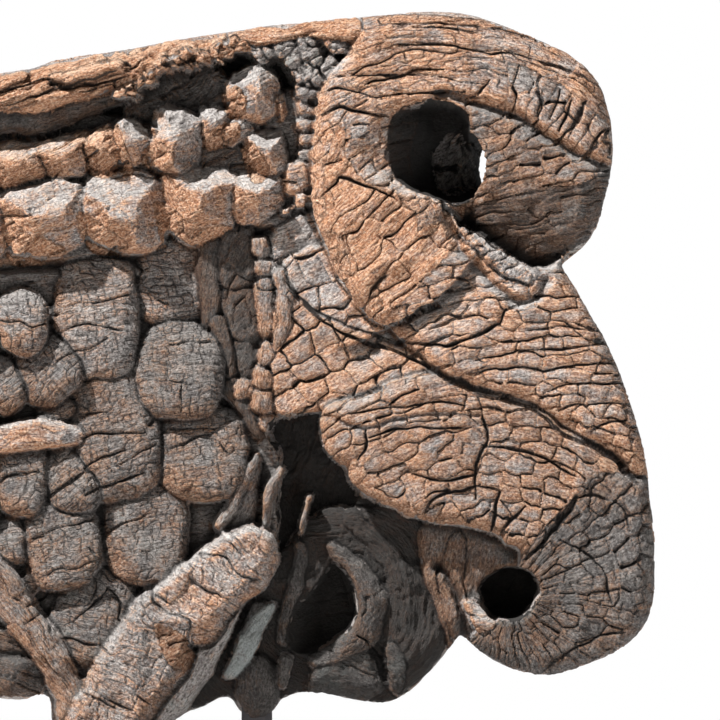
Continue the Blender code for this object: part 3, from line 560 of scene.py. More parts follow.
# The deep pocket between the collar and the jaw is painted near black with shade.
face.begin(straight(70), (60, 20), (1.3, 3.5, 0.4), 1.0, 3.4, (0.3, 0.1, 1.7), crumb=2.0)
face.sink([
    (270, 432), (286, 412), (318, 396), (345, 410), (365, 470), (352, 508), (322, 520), (300, 545),
    (284, 556), (276, 520), (284, 470),
], lambda x: np.full(x.shape, -84.0), 9)
face.begin(straight(58), (40, 14), (1.2, 2.5, 0.35), 0.8, 1.0, (0.35, 0.15, 0.6))
face.lobe([(262, 456), (266, 475), (258, 510), (244, 532), (216, 536), (222, 508), (240, 478)], -32, 12, 14)
face.bar([(260, 460, 6, -24), (240, 490, 7, -22), (222, 528, 8, -24)], 6, 10)
face.bar([(286, 470, 5, -28), (270, 495, 7, -26), (264, 520, 6, -30)], 6, 14)
face.bar([(313, 496, 5, -42), (303, 530, 5, -42)], 6, 12)
face.begin(straight(30), (30, 27), (1.7, 5, 0.9), 1.6, 0.6, (0.5, 0.05, 0.1), crumb=0.4)
face.lobe([
    (276, 272), (284, 252), (318, 244), (338, 256), (352, 288), (370, 316), (392, 334), (404, 350),
    (366, 342), (334, 332), (310, 314), (290, 292),
], -27, 7, 12)
face.begin(straight(28), (30, 23), (1.8, 7, 1.0), 2.0, 0.5, (0.7, 0.0, 0.3), crumb=0.5)
face.lobe([
    (276, 292), (298, 290), (330, 312), (372, 330), (412, 350), (452, 368), (420, 392), (375, 398),
    (334, 408), (305, 417), (282, 420), (270, 396), (268, 340),
], -23, 9, 16)


# The jaw, set back in the shade behind the trunk: a mouth with a raised rim, pale plates
# where lichen grows, folds behind the limb and a nub that hangs over the post.
# The jaw's dark patina is deepened with painted shade.
face.begin(ringed(330, 600, 70), (150, 60), (1.3, 3, 0.25), 0.6, 2.6, (0.4, 0.48, 1.25), long=40, crumb=1.3)
face.lobe([
    (282, 545), (318, 512), (350, 505), (425, 515), (445, 580), (445, 640), (430, 690), (395, 712),
    (340, 708), (290, 708), (262, 735), (235, 720), (225, 705), (190, 715), (200, 660), (240, 600),
    (270, 560),
], -58, 16, 12)
face.lobe([
    (384, 560), (420, 560), (436, 600), (452, 650), (425, 690), (398, 700), (385, 660), (372, 634),
    (380, 600),
], -50, 20, 16)
face.bar([(352, 520, 16, -56), (392, 560, 18, -54), (402, 610, 18, -54), (398, 650, 14, -54)], 18, 12)
face.begin(ringed(330, 600, 70), (60, 40), (1.2, 3, 0.3), 0.8, 1.2, (0.35, 0.3, 0.85), crumb=0.6)
face.bar([
    (334, 548, 9, -46), (352, 572, 16, -42), (370, 602, 20, -40), (364, 630, 19, -40),
    (340, 652, 14, -40), (316, 664, 10, -44),
], 20, 20)
face.begin(straight(-14), (60, 40), (1.2, 2.5, 0.3), 1.0, 0.8, (0.25, 0.6, 0.9), crumb=1.4, seam=0)
face.lobe([(312, 668), (352, 642), (372, 656), (386, 690), (350, 702), (312, 702)], -44, 16, 12, blend=6)
face.lobe([(384, 646), (398, 640), (412, 668), (404, 694), (390, 690)], -47, 12, 10, blend=6)
face.begin(straight(50), (90, 40), (1.2, 2.5, 0.3), 0.5, 0.8, (0.0, 1.0, 0.3))
face.bar([(231, 672, 9, -36), (250, 640, 13, -34), (272, 606, 8, -40)], 9, 12)
face.begin(straight(85), (40, 14), (1.2, 2.5, 0.35), 1.0, 1.2, (0.15, 0.3, 0.85))
face.knob((284, 672, 9, 20, -40, 15), 13, square=3)
face.knob((257, 690, 25, 38, -44, 0), 24, 0.9, 2.2, -4)
for fold in [[(262, 605, 9, -46), (236, 650, 8, -46)], [(300, 545, 9, -52), (285, 640, 9, -52)]]:
    face.bar(fold, 7, 10)


# The head: a pierced volute with a deep cleft, the long tongue that rolls out of it, and the
# trunk that curls round the lower hole. The wood has opened into rows of small bricks.
VOLUTE = [
    (356, -10), (343, 44), (324, 86), (316, 110), (311, 140), (309, 190), (316, 228), (345, 290),
    (390, 290), (456, 222), (480, 241), (500, 256), (520, 266), (548, 272), (590, 275), (640, 240),
    (660, 200), (665, 140), (650, 70), (600, 20), (540, -20), (440, -30),
]
CLEFT = [(440, 97), (480, 104), (500, 110), (520, 120), (560, 143), (605, 170), (625, 180)]
loop = smooth_loop(VOLUTE)
at = face.window(loop, 1)
inside = face.inside_distance(loop, at)
below, side = face.line_distance(smooth_line(CLEFT), at)
below = np.where((side > 0) & (face.x[at] > CLEFT[0][0]), below, 0)
depth = -2 - 0.0032 * below**2 - rounded_fall(inside, 22, 26)
face.begin(
    ringed(450, 300, 200), (90, 19), (1.6, 5, 0.6), 1.0, 1.3, (0.65, 0.05, 0.0), long=40, crumb=0.4,
    fine=((17, 8), 0.9), seam=0,
)
face.raise_to(at, depth, inside > 0)
face.begin(ringed(470, 250, 150), (15, 34), (1.8, 6, 1.0), 1.6, 0.7, (0.4, 0.1, 0.3), crumb=0.5, seam=0)
above, _ = face.line_distance(smooth_line(CLEFT), at)
fluted = (inside > 0) & (face.x[at] > 505) & (above < 44) & (below == 0)
face.form[at] = np.where(fluted, face.now, face.form[at])
# Below the cleft, the volute's underside is darkened with painted shade, most where it turns under.
face.begin(straight(17), (23, 13), (1.5, 4.5, 0.95), 1.2, 1.0, (0.5, 0.15, 0.55), crumb=0.4, seam=0)
beneath = (inside > 0) & (below > 0) & (face.x[at] > 462)
face.form[at] = np.where(beneath, face.now, face.form[at])
face.begin(straight(12), (34, 13), (1.5, 4, 0.9), 1.2, 1.6, (0.4, 0.15, 0.8), seam=0)
under = face.y[at] + 0.25 * (face.x[at] - 480) > 205
face.form[at] = np.where(beneath & under, face.now, face.form[at])
face.groove(CLEFT, 9, 14)
face.begin(ringed(540, 660, 300), (27, 14), (1.4, 5, 0.95), 1.6, 0.6, (0.55, 0.05, 0.28), crumb=0.5, seam=0)
face.lobe([
    (330, 110), (312, 170), (317, 228), (326, 245), (334, 265), (341, 285), (351, 302), (362, 315),
    (374, 326), (388, 332), (402, 345), (420, 357), (440, 371), (480, 388), (520, 403), (555, 425),
    (580, 438), (605, 452), (650, 480), (720, 470), (720, 380), (660, 300), (600, 240), (545, 268),
    (505, 262), (470, 232), (440, 205), (400, 170), (360, 120),
], -3, 24, 26, -0.02, blend=8)
FOLD = [(372, 338), (388, 333), (402, 327), (420, 311), (440, 299), (462, 272)]
face.begin(straight(42), (36, 17), (1.3, 4, 0.85), 1.2, 1.2, (0.9, 0.0, 0.0), seam=0)
roll = np.where(face.x + 0.9 * (face.y - 190) < 505, face.now, face.form)
face.form = np.where(face.form == face.now - 1, roll, face.form)
face.step_down(FOLD, 50, 22)
face.groove([
    (440, 215), (455, 238), (470, 262), (484, 276), (502, 293), (520, 300), (538, 296), (550, 282),
], 8, 12)
face.begin(straight(40), (20, 13), (1.5, 4, 0.8), 1.6, 1.2, (0.25, 0.25, 0.2), crumb=1.4)
face.bar([(462, 231, 8, -5), (486, 251, 10, -3), (508, 268, 12, -3), (532, 280, 11, -5)], 9, 12)
face.begin(ringed(490, 680, 240), (29, 15), (1.45, 5, 0.95), 1.8, 0.7, (0.62, 0.03, 0.45), crumb=0.6)
face.lobe([
    (316, 418), (320, 440), (328, 456), (345, 470), (350, 487), (370, 501), (395, 512), (430, 525),
    (460, 530), (485, 537), (500, 543), (516, 560), (508, 595), (484, 618), (466, 640), (480, 690),
    (560, 730), (690, 710), (740, 560), (720, 440), (640, 470), (605, 446), (560, 412), (500, 384),
    (440, 368), (400, 378), (370, 386), (345, 392), (322, 403),
], -8, 20, 24)
face.begin(
    rayed(505, 595, 90), (24, 15), (1.3, 4.5, 0.92), 1.4, 0.7, (0.35, 0.2, 0.72), crumb=0.3,
    fine=((12, 8), 1.0),
)
curl = (face.x - 500) * 0.75 + (face.y - 590) * 0.65 > -8
face.form = np.where((face.form == face.now - 1) & curl & (face.y > 470), face.now, face.form)
face.groove([(318, 413), (345, 422), (366, 427), (400, 418), (440, 411), (480, 414)], 3, 6)
# The inner curl beside the hole is darkened with painted shade.
face.begin(straight(75), (60, 24), (1.2, 3, 0.3), 0.8, 1.2, (0.6, 0.1, 0.75))
face.lobe([
    (425, 520), (480, 525), (525, 560), (500, 600), (480, 625), (462, 640), (448, 650), (430, 600),
    (420, 560),
], -40, 16, 16)
face.bar([(458, 542, 15, -38), (450, 582, 16, -37), (458, 626, 14, -35)], 15, 9)
face.begin(straight(10), (22, 14), (1.4, 3.5, 0.6), 1.0, 0.8, (0.5, 0.1, 0.4), seam=0)
face.bar([
    (468, 604, 10, -14), (480, 622, 12, -10), (505, 633, 12, -9), (532, 625, 11, -11), (546, 606, 8, -14),
], 12, 9)
face.groove([(440, 568), (448, 575), (457, 598), (460, 630)], 7, 14)


# The limb: a log that crosses the front and stands furthest forward, a ridge behind it, a
# second band beside it and broken blocks at the lower left.
face.begin(straight(56), (90, 24), (1.2, 3, 0.3), 0.8, 1.0, (0.1, 0.5, 0.3), long=50)
face.bar([(236, 596, 14, -18), (207, 648, 16, -18), (171, 718, 18, -20), (140, 810, 20, -22)], 12, 26)
face.begin(
    straight(-24), (46, 30), (1.3, 4, 0.5), 2.4, 1.1, (0.5, 0.1, 0.42), long=18, crumb=1.0,
    fine=((13, 9), 1.0), weave=0.6,
)
face.lobe([
    (146, 588), (176, 604), (204, 616), (199, 652), (190, 680), (172, 702), (150, 722), (140, 760),
    (128, 810), (40, 810), (50, 745), (62, 718), (75, 690), (90, 662), (114, 626),
], -1, 18, 34, 0.06)
face.bevel([(100, 840), (104, 800), (112, 760), (136, 712), (166, 676), (186, 640), (204, 580)], 34, 20)
face.begin(
    straight(-30), (60, 34), (1.2, 3.5, 0.4), 1.8, 0.8, (0.45, 0.05, 0.1), long=18, crumb=0.8,
    ridges=1.0, fine=((13, 9), 0.9), weave=0.6,
)
face.lobe([
    (124, 612), (155, 585), (181, 562), (201, 549), (232, 531), (258, 521), (278, 537), (277, 563),
    (262, 590), (236, 612), (214, 640), (186, 648), (156, 636),
], 1, 15, 32, 0.06)
face.bevel([(160, 690), (180, 650), (204, 616), (236, 586), (260, 556), (276, 526), (290, 490)], 26, 24)
face.begin(straight(30), (24, 14), (1.3, 4, 0.5), 1.6, 0.8, (1.6, -0.8, 0.6), crumb=1.8, seam=0)
face.claim([(156, 626), (176, 630), (192, 640), (197, 656), (190, 668), (174, 662), (164, 646)])
face.begin(straight(-52), (50, 16), (1.3, 4, 0.5), 1.6, 1.5, (0.5, 0.2, 0.6), crumb=0.7)
face.bar([
    (-60, 526, 20, -18), (10, 590, 21, -14), (46, 640, 23, -14), (72, 690, 20, -18), (84, 780, 18, -22),
], 14, 18)
face.begin(straight(-16), (50, 13), (1.3, 4, 0.6), 1.6, 1.8, (0.5, 0.25, 0.85), crumb=0.6)
for block in [(-2, 640, 50, 17, -28, 5), (-2, 677, 50, 22, -20, 5), (34, 575, 13, 18, -28, 10)]:
    face.knob(block, 15, square=3)


# The pockets: the funnel that leads into the pierced eye, the hole in the trunk's curl and the mouth,
# all painted dark with shade.
face.begin(straight(24), (22, 13), (1.4, 4, 0.7), 1.2, 1.2, (0.6, 0.0, 0.15), crumb=0.6, seam=0)
face.sink([
    (352, 122), (380, 106), (420, 100), (450, 110), (450, 196), (420, 198), (385, 190), (358, 170),
    (346, 145),
], lambda x: -1 - 20 * np.clip((x - 350) / 45, 0, 1) ** 1.5, 22)
face.begin(straight(14), (34, 17), (1.2, 2.5, 0.35), 1.2, 0.9, (0.6, 0.0, 1.05), crumb=0.8, seam=0)
face.sink([
    (402, 110), (440, 104), (466, 116), (471, 140), (481, 160), (484, 180), (477, 194), (462, 204),
    (446, 202), (426, 195), (405, 184), (391, 168), (385, 148), (389, 126),
], lambda x: -6 - 91 * np.clip((x - 380) / 52, 0, 1) ** 1.2, 9)
face.begin(straight(14), (34, 17), (1.2, 2.5, 0.35), 0.8, 0.9, (0.1, 0.0, 1.3))
face.claim([
    (422, 108), (450, 106), (466, 118), (472, 140), (482, 160), (484, 180), (477, 194), (462, 204),
    (444, 200), (424, 188), (410, 150),
])
face.sink([
    (478, 590), (486, 573), (508, 566), (530, 573), (539, 592), (532, 612), (508, 622), (486, 612),
], lambda x: np.full(x.shape, -112.0), 4)
face.sink([
    (333, 558), (346, 576), (357, 600), (354, 618), (335, 640), (319, 652), (300, 655), (288, 642),
    (296, 612), (313, 584), (325, 564),
], lambda x: -60 - 50 * np.clip((x - 290) / 35, 0, 1), 5)


# The weathering
# Years outdoors have opened the dried wood: named long checks, then a net of joints that
# leaves bricks and squares, finer where the grain is close. Wear rounds every brick.
# Each long check has its line, its half width and its depth.
LONG_CHECKS = [
    ([(400, 28), (440, 31), (480, 34)], 2.0, 5), ([(400, 48), (435, 49), (480, 54), (515, 60)], 2.2, 7),
    ([(515, 60), (540, 67), (560, 72), (580, 80), (587, 86)], 2.4, 8),
    ([(340, 79), (400, 76), (440, 80), (460, 83)], 1.8, 5),
    ([(400, 94), (440, 96), (470, 97), (486, 80)], 2.0, 6), ([(325, 98), (340, 92), (385, 100)], 2.0, 6),
    ([(320, 118), (342, 108), (375, 116), (392, 120)], 2.4, 8), ([(320, 167), (345, 160)], 1.8, 5),
    ([(320, 200), (340, 182), (345, 177), (370, 186), (395, 200)], 2.2, 7),
    ([(528, 82), (530, 90), (527, 97)], 2.2, 7), ([(541, 95), (541, 106), (537, 118)], 2.2, 7),
    ([(557, 95), (556, 110), (552, 120)], 2.2, 7), ([(570, 105), (567, 120), (560, 133)], 2.4, 8),
    ([(585, 103), (580, 120), (570, 138)], 2.4, 8), ([(607, 125), (598, 138), (588, 150)], 2.4, 8),
    ([(385, 332), (402, 328), (422, 312), (440, 302)], 2.6, 9),
    ([(366, 302), (372, 290), (388, 276)], 2.4, 7),
    ([(400, 345), (440, 346), (458, 342), (480, 332), (500, 322)], 2.6, 8),
    ([(500, 322), (505, 308), (520, 302)], 2.2, 6), ([(430, 330), (455, 318), (470, 300)], 2.0, 5),
    ([(480, 356), (510, 352), (545, 350), (590, 344), (610, 340)], 2.0, 6),
    ([(470, 372), (500, 366), (540, 370), (580, 366), (618, 362)], 2.0, 6),
    ([(520, 330), (560, 326), (600, 330)], 2.0, 5), ([(540, 392), (580, 386), (625, 384)], 2.0, 6),
    ([(560, 410), (600, 404), (632, 406)], 2.2, 7), ([(590, 430), (615, 424), (638, 430)], 2.0, 6),
    ([(284, 278), (310, 304), (331, 325), (358, 338), (390, 350), (440, 372)], 2.6, 8),
    ([(440, 372), (480, 388), (520, 403), (555, 425), (580, 438), (605, 452), (640, 480)], 3.0, 9),
    ([(345, 468), (352, 488), (372, 502)], 2.2, 6), ([(365, 428), (368, 445), (360, 460)], 2.2, 7),
    ([(350, 412), (400, 406), (440, 398), (465, 402)], 2.2, 6),
    ([(370, 436), (410, 426), (470, 428)], 2.2, 7),
    ([(480, 392), (484, 412), (490, 440), (478, 470), (478, 500)], 2.2, 7),
    ([(486, 446), (520, 452), (550, 462), (572, 478)], 2.4, 8),
    ([(425, 512), (436, 494), (470, 488), (500, 490)], 2.4, 7),
    ([(500, 490), (497, 515), (492, 536)], 2.6, 8), ([(520, 506), (508, 522), (500, 540)], 2.4, 8),
    ([(400, 470), (440, 476), (480, 474)], 2.0, 6),
    ([(540, 672), (560, 655), (600, 635), (625, 630)], 2.4, 7),
    ([(574, 498), (600, 495), (622, 505), (630, 530)], 2.0, 6),
    ([(556, 540), (590, 556), (612, 600)], 2.0, 6), ([(355, 632), (375, 650), (395, 685)], 2.8, 9),
    ([(50, 498), (70, 484), (90, 470)], 2.2, 7), ([(60, 332), (90, 322), (130, 330)], 2.0, 5),
    ([(82, 414), (98, 412), (113, 409)], 1.8, 5), ([(89, 467), (104, 456), (128, 448)], 2.0, 6),
    ([(169, 448), (187, 443), (210, 433)], 1.8, 5), ([(214, 439), (230, 454), (236, 452)], 1.8, 5),
    ([(0, 484), (13, 475), (28, 473)], 2.0, 6), ([(28, 541), (45, 536), (60, 540)], 1.8, 5),
    ([(41, 541), (50, 564)], 1.8, 5), ([(78, 621), (95, 608), (108, 588)], 2.2, 6),
    ([(108, 588), (118, 603), (117, 621)], 2.0, 6), ([(28, 621), (47, 608)], 2.0, 6),
    ([(226, 541), (243, 554)], 1.8, 5), ([(202, 588), (221, 597)], 1.8, 5),
    ([(134, 688), (152, 701)], 2.0, 6), ([(104, 697), (130, 705)], 2.0, 6),
    ([(187, 380), (184, 412)], 1.6, 4), ([(168, 356), (174, 380), (196, 384)], 1.6, 4),
    ([(573, 497), (566, 510), (552, 528), (538, 546), (521, 561)], 4.2, 15),
    ([(75, 440), (100, 432), (148, 430)], 2.0, 5), ([(90, 496), (118, 482), (145, 472)], 2.2, 6),
    ([(28, 602), (46, 596), (58, 588)], 2.2, 6), ([(106, 530), (130, 518), (150, 512)], 2.2, 6),
    ([(0, 113), (60, 93), (118, 78)], 2.0, 6), ([(55, 88), (58, 90), (115, 70)], 2.4, 8),
    ([(0, 95), (50, 84), (56, 92)], 2.0, 6), ([(92, 545), (100, 560), (96, 600)], 2.0, 5),
]


def on_drawing(points):
    """Column and row of world points."""
    column = points[:, 0] / division + middle_column
    return column, SAWN_END - (points[:, 2] - underside) / division


def read_points(mesh, kind="vertices", value="co"):
    """One vector for each vertex of a mesh, as rows."""
    values = np.empty(3 * len(mesh.vertices))
    getattr(mesh, kind).foreach_get(value, values)
    return values.reshape(-1, 3)


def smooth_chance(places, salt):
    """A value from -1 to 1 that wanders smoothly over one unit of the places."""
    low = np.floor(places)
    part = places - low
    part = part * part * (3 - 2 * part)
    total = np.zeros(len(places))
    for corner in itertools.product((0, 1), repeat=places.shape[1]):
        share = np.prod(np.where(corner, part, 1 - part), 1)
        total += share * chance(low + corner, salt)
    return 2 * total - 1


def bricks(places, size, salt):
    """Staggered cells. Gives each point's distance to the nearest joint in divisions, its cell's value,
    the joint's value, how far the joint runs along the grain, and the way from the cell's middle."""
    size = np.array(size, float)
    p = places / size
    near = np.full(len(p), np.inf)
    next_near = near.copy()
    away = np.zeros(p.shape)
    next_away = np.zeros(p.shape)
    value = np.zeros(len(p))
    next_value = np.zeros(len(p))
    for step in itertools.product((-1, 0, 1), repeat=p.shape[1]):
        rows = np.floor(p[:, 1:]) + step[1:]
        shift = chance(rows, salt + 1)
        cell = np.column_stack([np.floor(p[:, 0] - shift) + step[0], rows])
        middle = cell + 0.5
        for axis, stray in enumerate((0.7, 0.4, 0.4)[: p.shape[1]]):
            middle[:, axis] += stray * (chance(cell, salt + 2 + axis) - 0.5)
        middle[:, 0] += shift
        offset = p - middle
        distance = (np.abs(offset) ** 3).sum(1) ** (1 / 3)
        own = chance(cell, salt + 7)
        closer = distance < near
        second = ~closer & (distance < next_near)
        next_value = np.where(closer, value, np.where(second, own, next_value))
        next_away = np.where(closer[:, None], away, np.where(second[:, None], offset, next_away))
        next_near = np.where(closer, near, np.where(second, distance, next_near))
        value = np.where(closer, own, value)
        away = np.where(closer[:, None], offset, away)
        near = np.where(closer, distance, near)
    apart = away - next_away
    length = np.maximum(np.linalg.norm(apart * size, axis=1), 1e-6)
    scale = length / np.maximum(np.linalg.norm(apart, axis=1), 1e-6)
    along = np.linalg.norm((apart * size)[:, 1:], axis=1) / length
    return (next_near - near) / 2 * scale, value, (value + next_value) % 1, along, away


def split_open(places, block, split, lift, strands, long, crumb, fine, salt):
    """How deep the joints and broken tops of one form lie below its carved surface, each brick's value,
    the depth down a joint alone, and the share of a hairline."""
    width, deep, opened = split
    wandered = places.copy()
    for axis in range(places.shape[1]):
        wandered[:, axis] += min(0.14 * block[0], 6) * smooth_chance(places / 36, salt + 11 + axis)
        wandered[:, axis] += min(0.08 * block[0], 2.8) * smooth_chance(places / 14, salt + 14 + axis)
        wandered[:, axis] += 0.9 * smooth_chance(places / 6, salt + 17 + axis)
    joint, value, strength, along, away = bricks(wandered, block, salt)
    strength = np.clip((strength * (0.46 + 0.62 * along) - 1 + opened) / opened, 0, 1)
    opening = width * (0.45 + 0.75 * strength)
    sunk = deep * strength**0.6 * np.clip(1 - joint / opening, 0, 1) ** 0.8
    worn_edge = (0.4 + 1.8 * strength) * np.clip(1 - joint / (3.6 * width), 0, 1) ** 2
    turn = 2 * math.pi * value
    tilt = away[:, 0] * np.cos(turn) + away[:, 1] * np.sin(turn)
    top = lift * (opened * (0.5 - value) + tilt)
    hairline = np.zeros(len(places))
    if fine:
        size, small_deep = fine
        within, small_value, small_strength, _, _ = bricks(wandered, size, salt + 31)
        hairline = np.clip(1 - within / 1.1, 0, 1) * np.clip(1.5 * small_strength - 0.25, 0, 1)
        sunk = np.maximum(sunk, small_deep * hairline)
        top += 0.3 * small_deep * small_value
    sizes = np.array((long, 4.4, 6))[: places.shape[1]]
    top += strands * np.abs(smooth_chance(wandered / sizes, salt + 41))
    top += 0.5 * strands * np.abs(smooth_chance(wandered / (0.45 * sizes), salt + 43))
    lumps = np.abs(smooth_chance(wandered / 6.5, salt + 47))
    top += crumb * (lumps + smooth_chance(wandered / 3.2, salt + 49) / 2)
    return sunk + worn_edge + top, value, sunk, hairline


PLAIN_WAY = {"lift": 1.0, "strands": 1.0, "long": 24, "crumb": 0.3, "fine": None}
BACK_WAY = {**PLAIN_WAY, "block": (70, 21, 24), "split": (1.6, 4, 0.6), "salt": 400}
FRONT_ENDS = 5
FRONT_FADES = 9
DEEPEST_DIVISION = 168
depth_division = THICKNESS / DEEPEST_DIVISION


def weathered(points):
    """How deep each point of the corbel has sunk, its brick's value, its depth down a joint, its share
    of a hairline, how far it belongs to the front, and its form there."""
    column, row = on_drawing(points)
    behind = (points[:, 1] + THICKNESS / 2) / depth_division + face.read(front, column, row)
    at_front = np.clip(1 - (behind - FRONT_ENDS) / FRONT_FADES, 0, 1)
    facts = np.zeros((4, len(points)))
    belongs = face.form_at(column, row)
    for number, form in enumerate(face.forms):
        own = np.flatnonzero((at_front > 0) & (belongs == number))
        if len(own):
            places = np.column_stack(form["grain"](column[own], row[own]))
            way = {name: form.get(name, plain) for name, plain in PLAIN_WAY.items()}
            facts[:, own] = split_open(places, form["block"], form["split"], **way, salt=50 * number)
    long_checks = face.read(checks, column, row)
    facts[0] = np.maximum(facts[0], long_checks) + face.read(rounding, column, row)
    facts[2] = np.maximum(facts[2], long_checks)
    facts *= at_front
    hidden = np.flatnonzero(at_front < 1)
    places = np.column_stack([column, row, points[:, 1] / depth_division])[hidden]
    facts[:, hidden] += np.array(split_open(places, **BACK_WAY)) * (1 - at_front[hidden])
    return *facts, at_front, belongs


def softened(values, radius):
    """The mean over a square of the net, worked out along rows and then along columns."""
    for axis in (0, 1):
        padded = np.pad(values, [(radius + 1, radius) if i == axis else (0, 0) for i in (0, 1)], "edge")
        sums = np.cumsum(padded, axis)
        width = 2 * radius + 1
        after = np.take(sums, range(width, sums.shape[axis]), axis)
        values = (after - np.take(sums, range(sums.shape[axis] - width), axis)) / width
    return values


def wander(size, reach, salt):
    """A net of values that wander by as much as reach over so many divisions."""
    return reach * smooth_chance(net_places / size, salt).reshape(face.x.shape)


net_places = np.column_stack([face.x.ravel(), face.y.ravel()])
checks = np.zeros(face.x.shape)
rounding = np.zeros(face.x.shape)
CHECK_WIDTH = 0.85
TAPER = 14
EDGE_WIDTH = 7
EDGE_WEAR = 1.8
uneven = CHECK_WIDTH + wander(13, 0.5, 911)
for points, width, deep in LONG_CHECKS:
    line = smooth_line(points)
    at = face.window(line, 8)
    distance, _ = face.line_distance(line, at)
    to_end = np.minimum(*[np.hypot(face.x[at] - x, face.y[at] - y) for x, y in (points[0], points[-1])])
    narrow = CHECK_WIDTH * width * uneven[at] * (0.35 + 0.65 * np.clip(to_end / TAPER, 0, 1))
    checks[at] = np.maximum(checks[at], deep * np.clip(1 - distance / narrow, 0, 1) ** 0.8)
    rounding[at] = np.maximum(rounding[at], EDGE_WEAR * np.clip(1 - distance / EDGE_WIDTH, 0, 1) ** 2)

# Where two pieces of the carving meet, the wood has opened along the cut.
seams = np.zeros(face.x.shape)
own_seam = np.array([form.get("seam", 1.0) for form in face.forms])[face.form]
for axis in (0, 1):
    other = np.roll(face.piece, 1, axis)
    seams = np.maximum(seams, (face.piece != other) * np.maximum(own_seam, np.roll(own_seam, 1, axis)))
SEAM_DEPTH = 5
SEAM_WEAR = 2.4
checks = np.maximum(checks, SEAM_DEPTH * uneven * np.clip(2.2 * softened(seams, 1) - 0.2, 0, 1))
rounding = np.maximum(rounding, SEAM_WEAR * np.clip(2 * softened(seams, 3) - 0.1, 0, 1) ** 2)

# No outline stays true: each wanders, and the broad faces are broken to blunt ridges.
strayed = [
    at + wander(44, 4.2, 905 + turn) + wander(14, 1.6, 907 + turn) + wander(5, 0.5, 909 + turn)
    for turn, at in enumerate((face.x, face.y))
]
face.depth = face.read(face.depth, *strayed)
checks = face.read(checks, *strayed)
rounding = face.read(rounding, *strayed)
face.form = face.form_at(*strayed)
roughness = np.array([form.get("ridges", 1.0) for form in face.forms])[face.form]
face.depth -= roughness * (np.abs(wander(40, 5.0, 921)) + np.abs(wander(19, 2.2, 922)) - 1.5)

EDGE_REACH = 24
EDGE_DROP = 26
BACK_SHARE = 0.4
BACK_SOFTNESS = 8
DEEPEST_SEEN_BEHIND = 60
everywhere = (slice(None), slice(None))
edge = rounded_fall(face.inside_distance(smooth_loop(OUTLINE, 4), everywhere), EDGE_REACH, EDGE_DROP)
front = face.depth - edge
back = softened(np.maximum(face.depth, -DEEPEST_SEEN_BEHIND), BACK_SOFTNESS) * BACK_SHARE - edge

# The eye was bored slanting: its passage runs back and to the right.
EYE_LEAN = 30
EYE_REACH = 85
points = read_points(mesh)
through = points[:, 1] / THICKNESS + 0.5
column, row = on_drawing(points)
ring = np.hypot((column - EYE[0]) / EYE_HALF[0], (row - EYE[1]) / EYE_HALF[1])
near_eye = np.clip(1 - (ring - 1) * min(EYE_HALF) / EYE_REACH, 0, 1)
column = column + EYE_LEAN * (2 * through - 1) * near_eye * near_eye * (3 - 2 * near_eye)
points[:, 0] = at_column(column)
near = -THICKNESS / 2 - face.read(front, column, row) * depth_division
far = THICKNESS / 2 + face.read(back, column, row) * depth_division
points[:, 1] = near + (far - near) * through
mesh.vertices.foreach_set("co", points.ravel())
FINE_VOXEL = 0.0010
mesh = even_net(corbel, FINE_VOXEL)

points = read_points(mesh)
normals = read_points(mesh, "vertex_normals", "vector")
sunk = weathered(points)[0]
sawn = (points[:, 0] < at_column(WALL_END) + FINE_VOXEL) | (points[:, 2] < underside + FINE_VOXEL)
sunk[sawn] = 0
points -= normals * (sunk * division)[:, None]
low, high = np.array(cad_box)
points[:, 0] = np.clip(points[:, 0], low[0], high[0])
points[:, 2] = np.clip(points[:, 2], underside, high[2])
mesh.vertices.foreach_set("co", points.ravel())
mesh.update()

TRIANGLES = 900000
LENGTHS = 5
thin = corbel.modifiers.new("Thin out", "DECIMATE")
thin.ratio = TRIANGLES / (2 * len(mesh.polygons))
thin.use_collapse_triangulate = True
mesh = applied(corbel)
mesh.vertices.foreach_set("co", np.clip(read_points(mesh), low, high).ravel())
mesh.update()


# What the weather and the wood leave at each point: the way of the grain, warmth, lichen, dirt with
# painted shade, depth down a joint or hairline, the brick, worn edges, painted shade in creases and
# hollows, a painted highlight on upward slopes, and torn slopes.
HOLLOW_DEPTH = 16
OPEN_REACH = 11
FULL_JOINT = 3.5
BEND_SHOWN = 2.5
PASSAGE_SHADE = 1.3
GRAIN_APART = 97
points = read_points(mesh)
normals = read_points(mesh, "vertex_normals", "vector")
column, row = on_drawing(points)
sunk, value, joint, hairline, at_front, belongs = weathered(points)
inwards = points[:, 1] / depth_division
grain = np.column_stack([column, row + inwards, inwards])
back_tones = {"warm": 0.3, "lichen": 0.15, "dirt_and_shade": 0.1, "weave": 0.0}
layers = {name: np.full(len(points), plain) for name, plain in back_tones.items()}
for number, form in enumerate(face.forms):
    own = (at_front > 0.5) & (belongs == number)
    grain[own, :2] = np.column_stack(form["grain"](column[own], row[own])) + GRAIN_APART * number
    for name in back_tones:
        layers[name][own] = form.get(name, 0.0)
edges = np.empty(2 * len(mesh.edges), np.int32)
mesh.edges.foreach_get("vertices", edges)
edges = edges.reshape(-1, 2)
bend = np.zeros(len(points))
neighbours = np.bincount(edges.ravel(), minlength=len(points))
apart = np.linalg.norm(points[edges[:, 1]] - points[edges[:, 0]], axis=1)
for here, there in (edges.T, edges.T[::-1]):
    rise = ((points[there] - points[here]) * normals[here]).sum(1) / apart
    bend += np.bincount(here, rise, len(points))
bend /= np.maximum(neighbours, 1)
open_depth = face.read(softened(face.depth, OPEN_REACH), column, row)
own_depth = face.read(face.depth, column, row)
# Painted shade: darker and less warm where the face lies deeper than the face around it.
layers["hollow"] = np.clip((open_depth - own_depth) / HOLLOW_DEPTH, 0, 1) * at_front
around_eye = np.hypot(column - EYE[0], row - EYE[1]) < EYE_REACH
sideways = np.clip(2 - 2.4 * np.abs(normals[:, 1]), 0, 1)
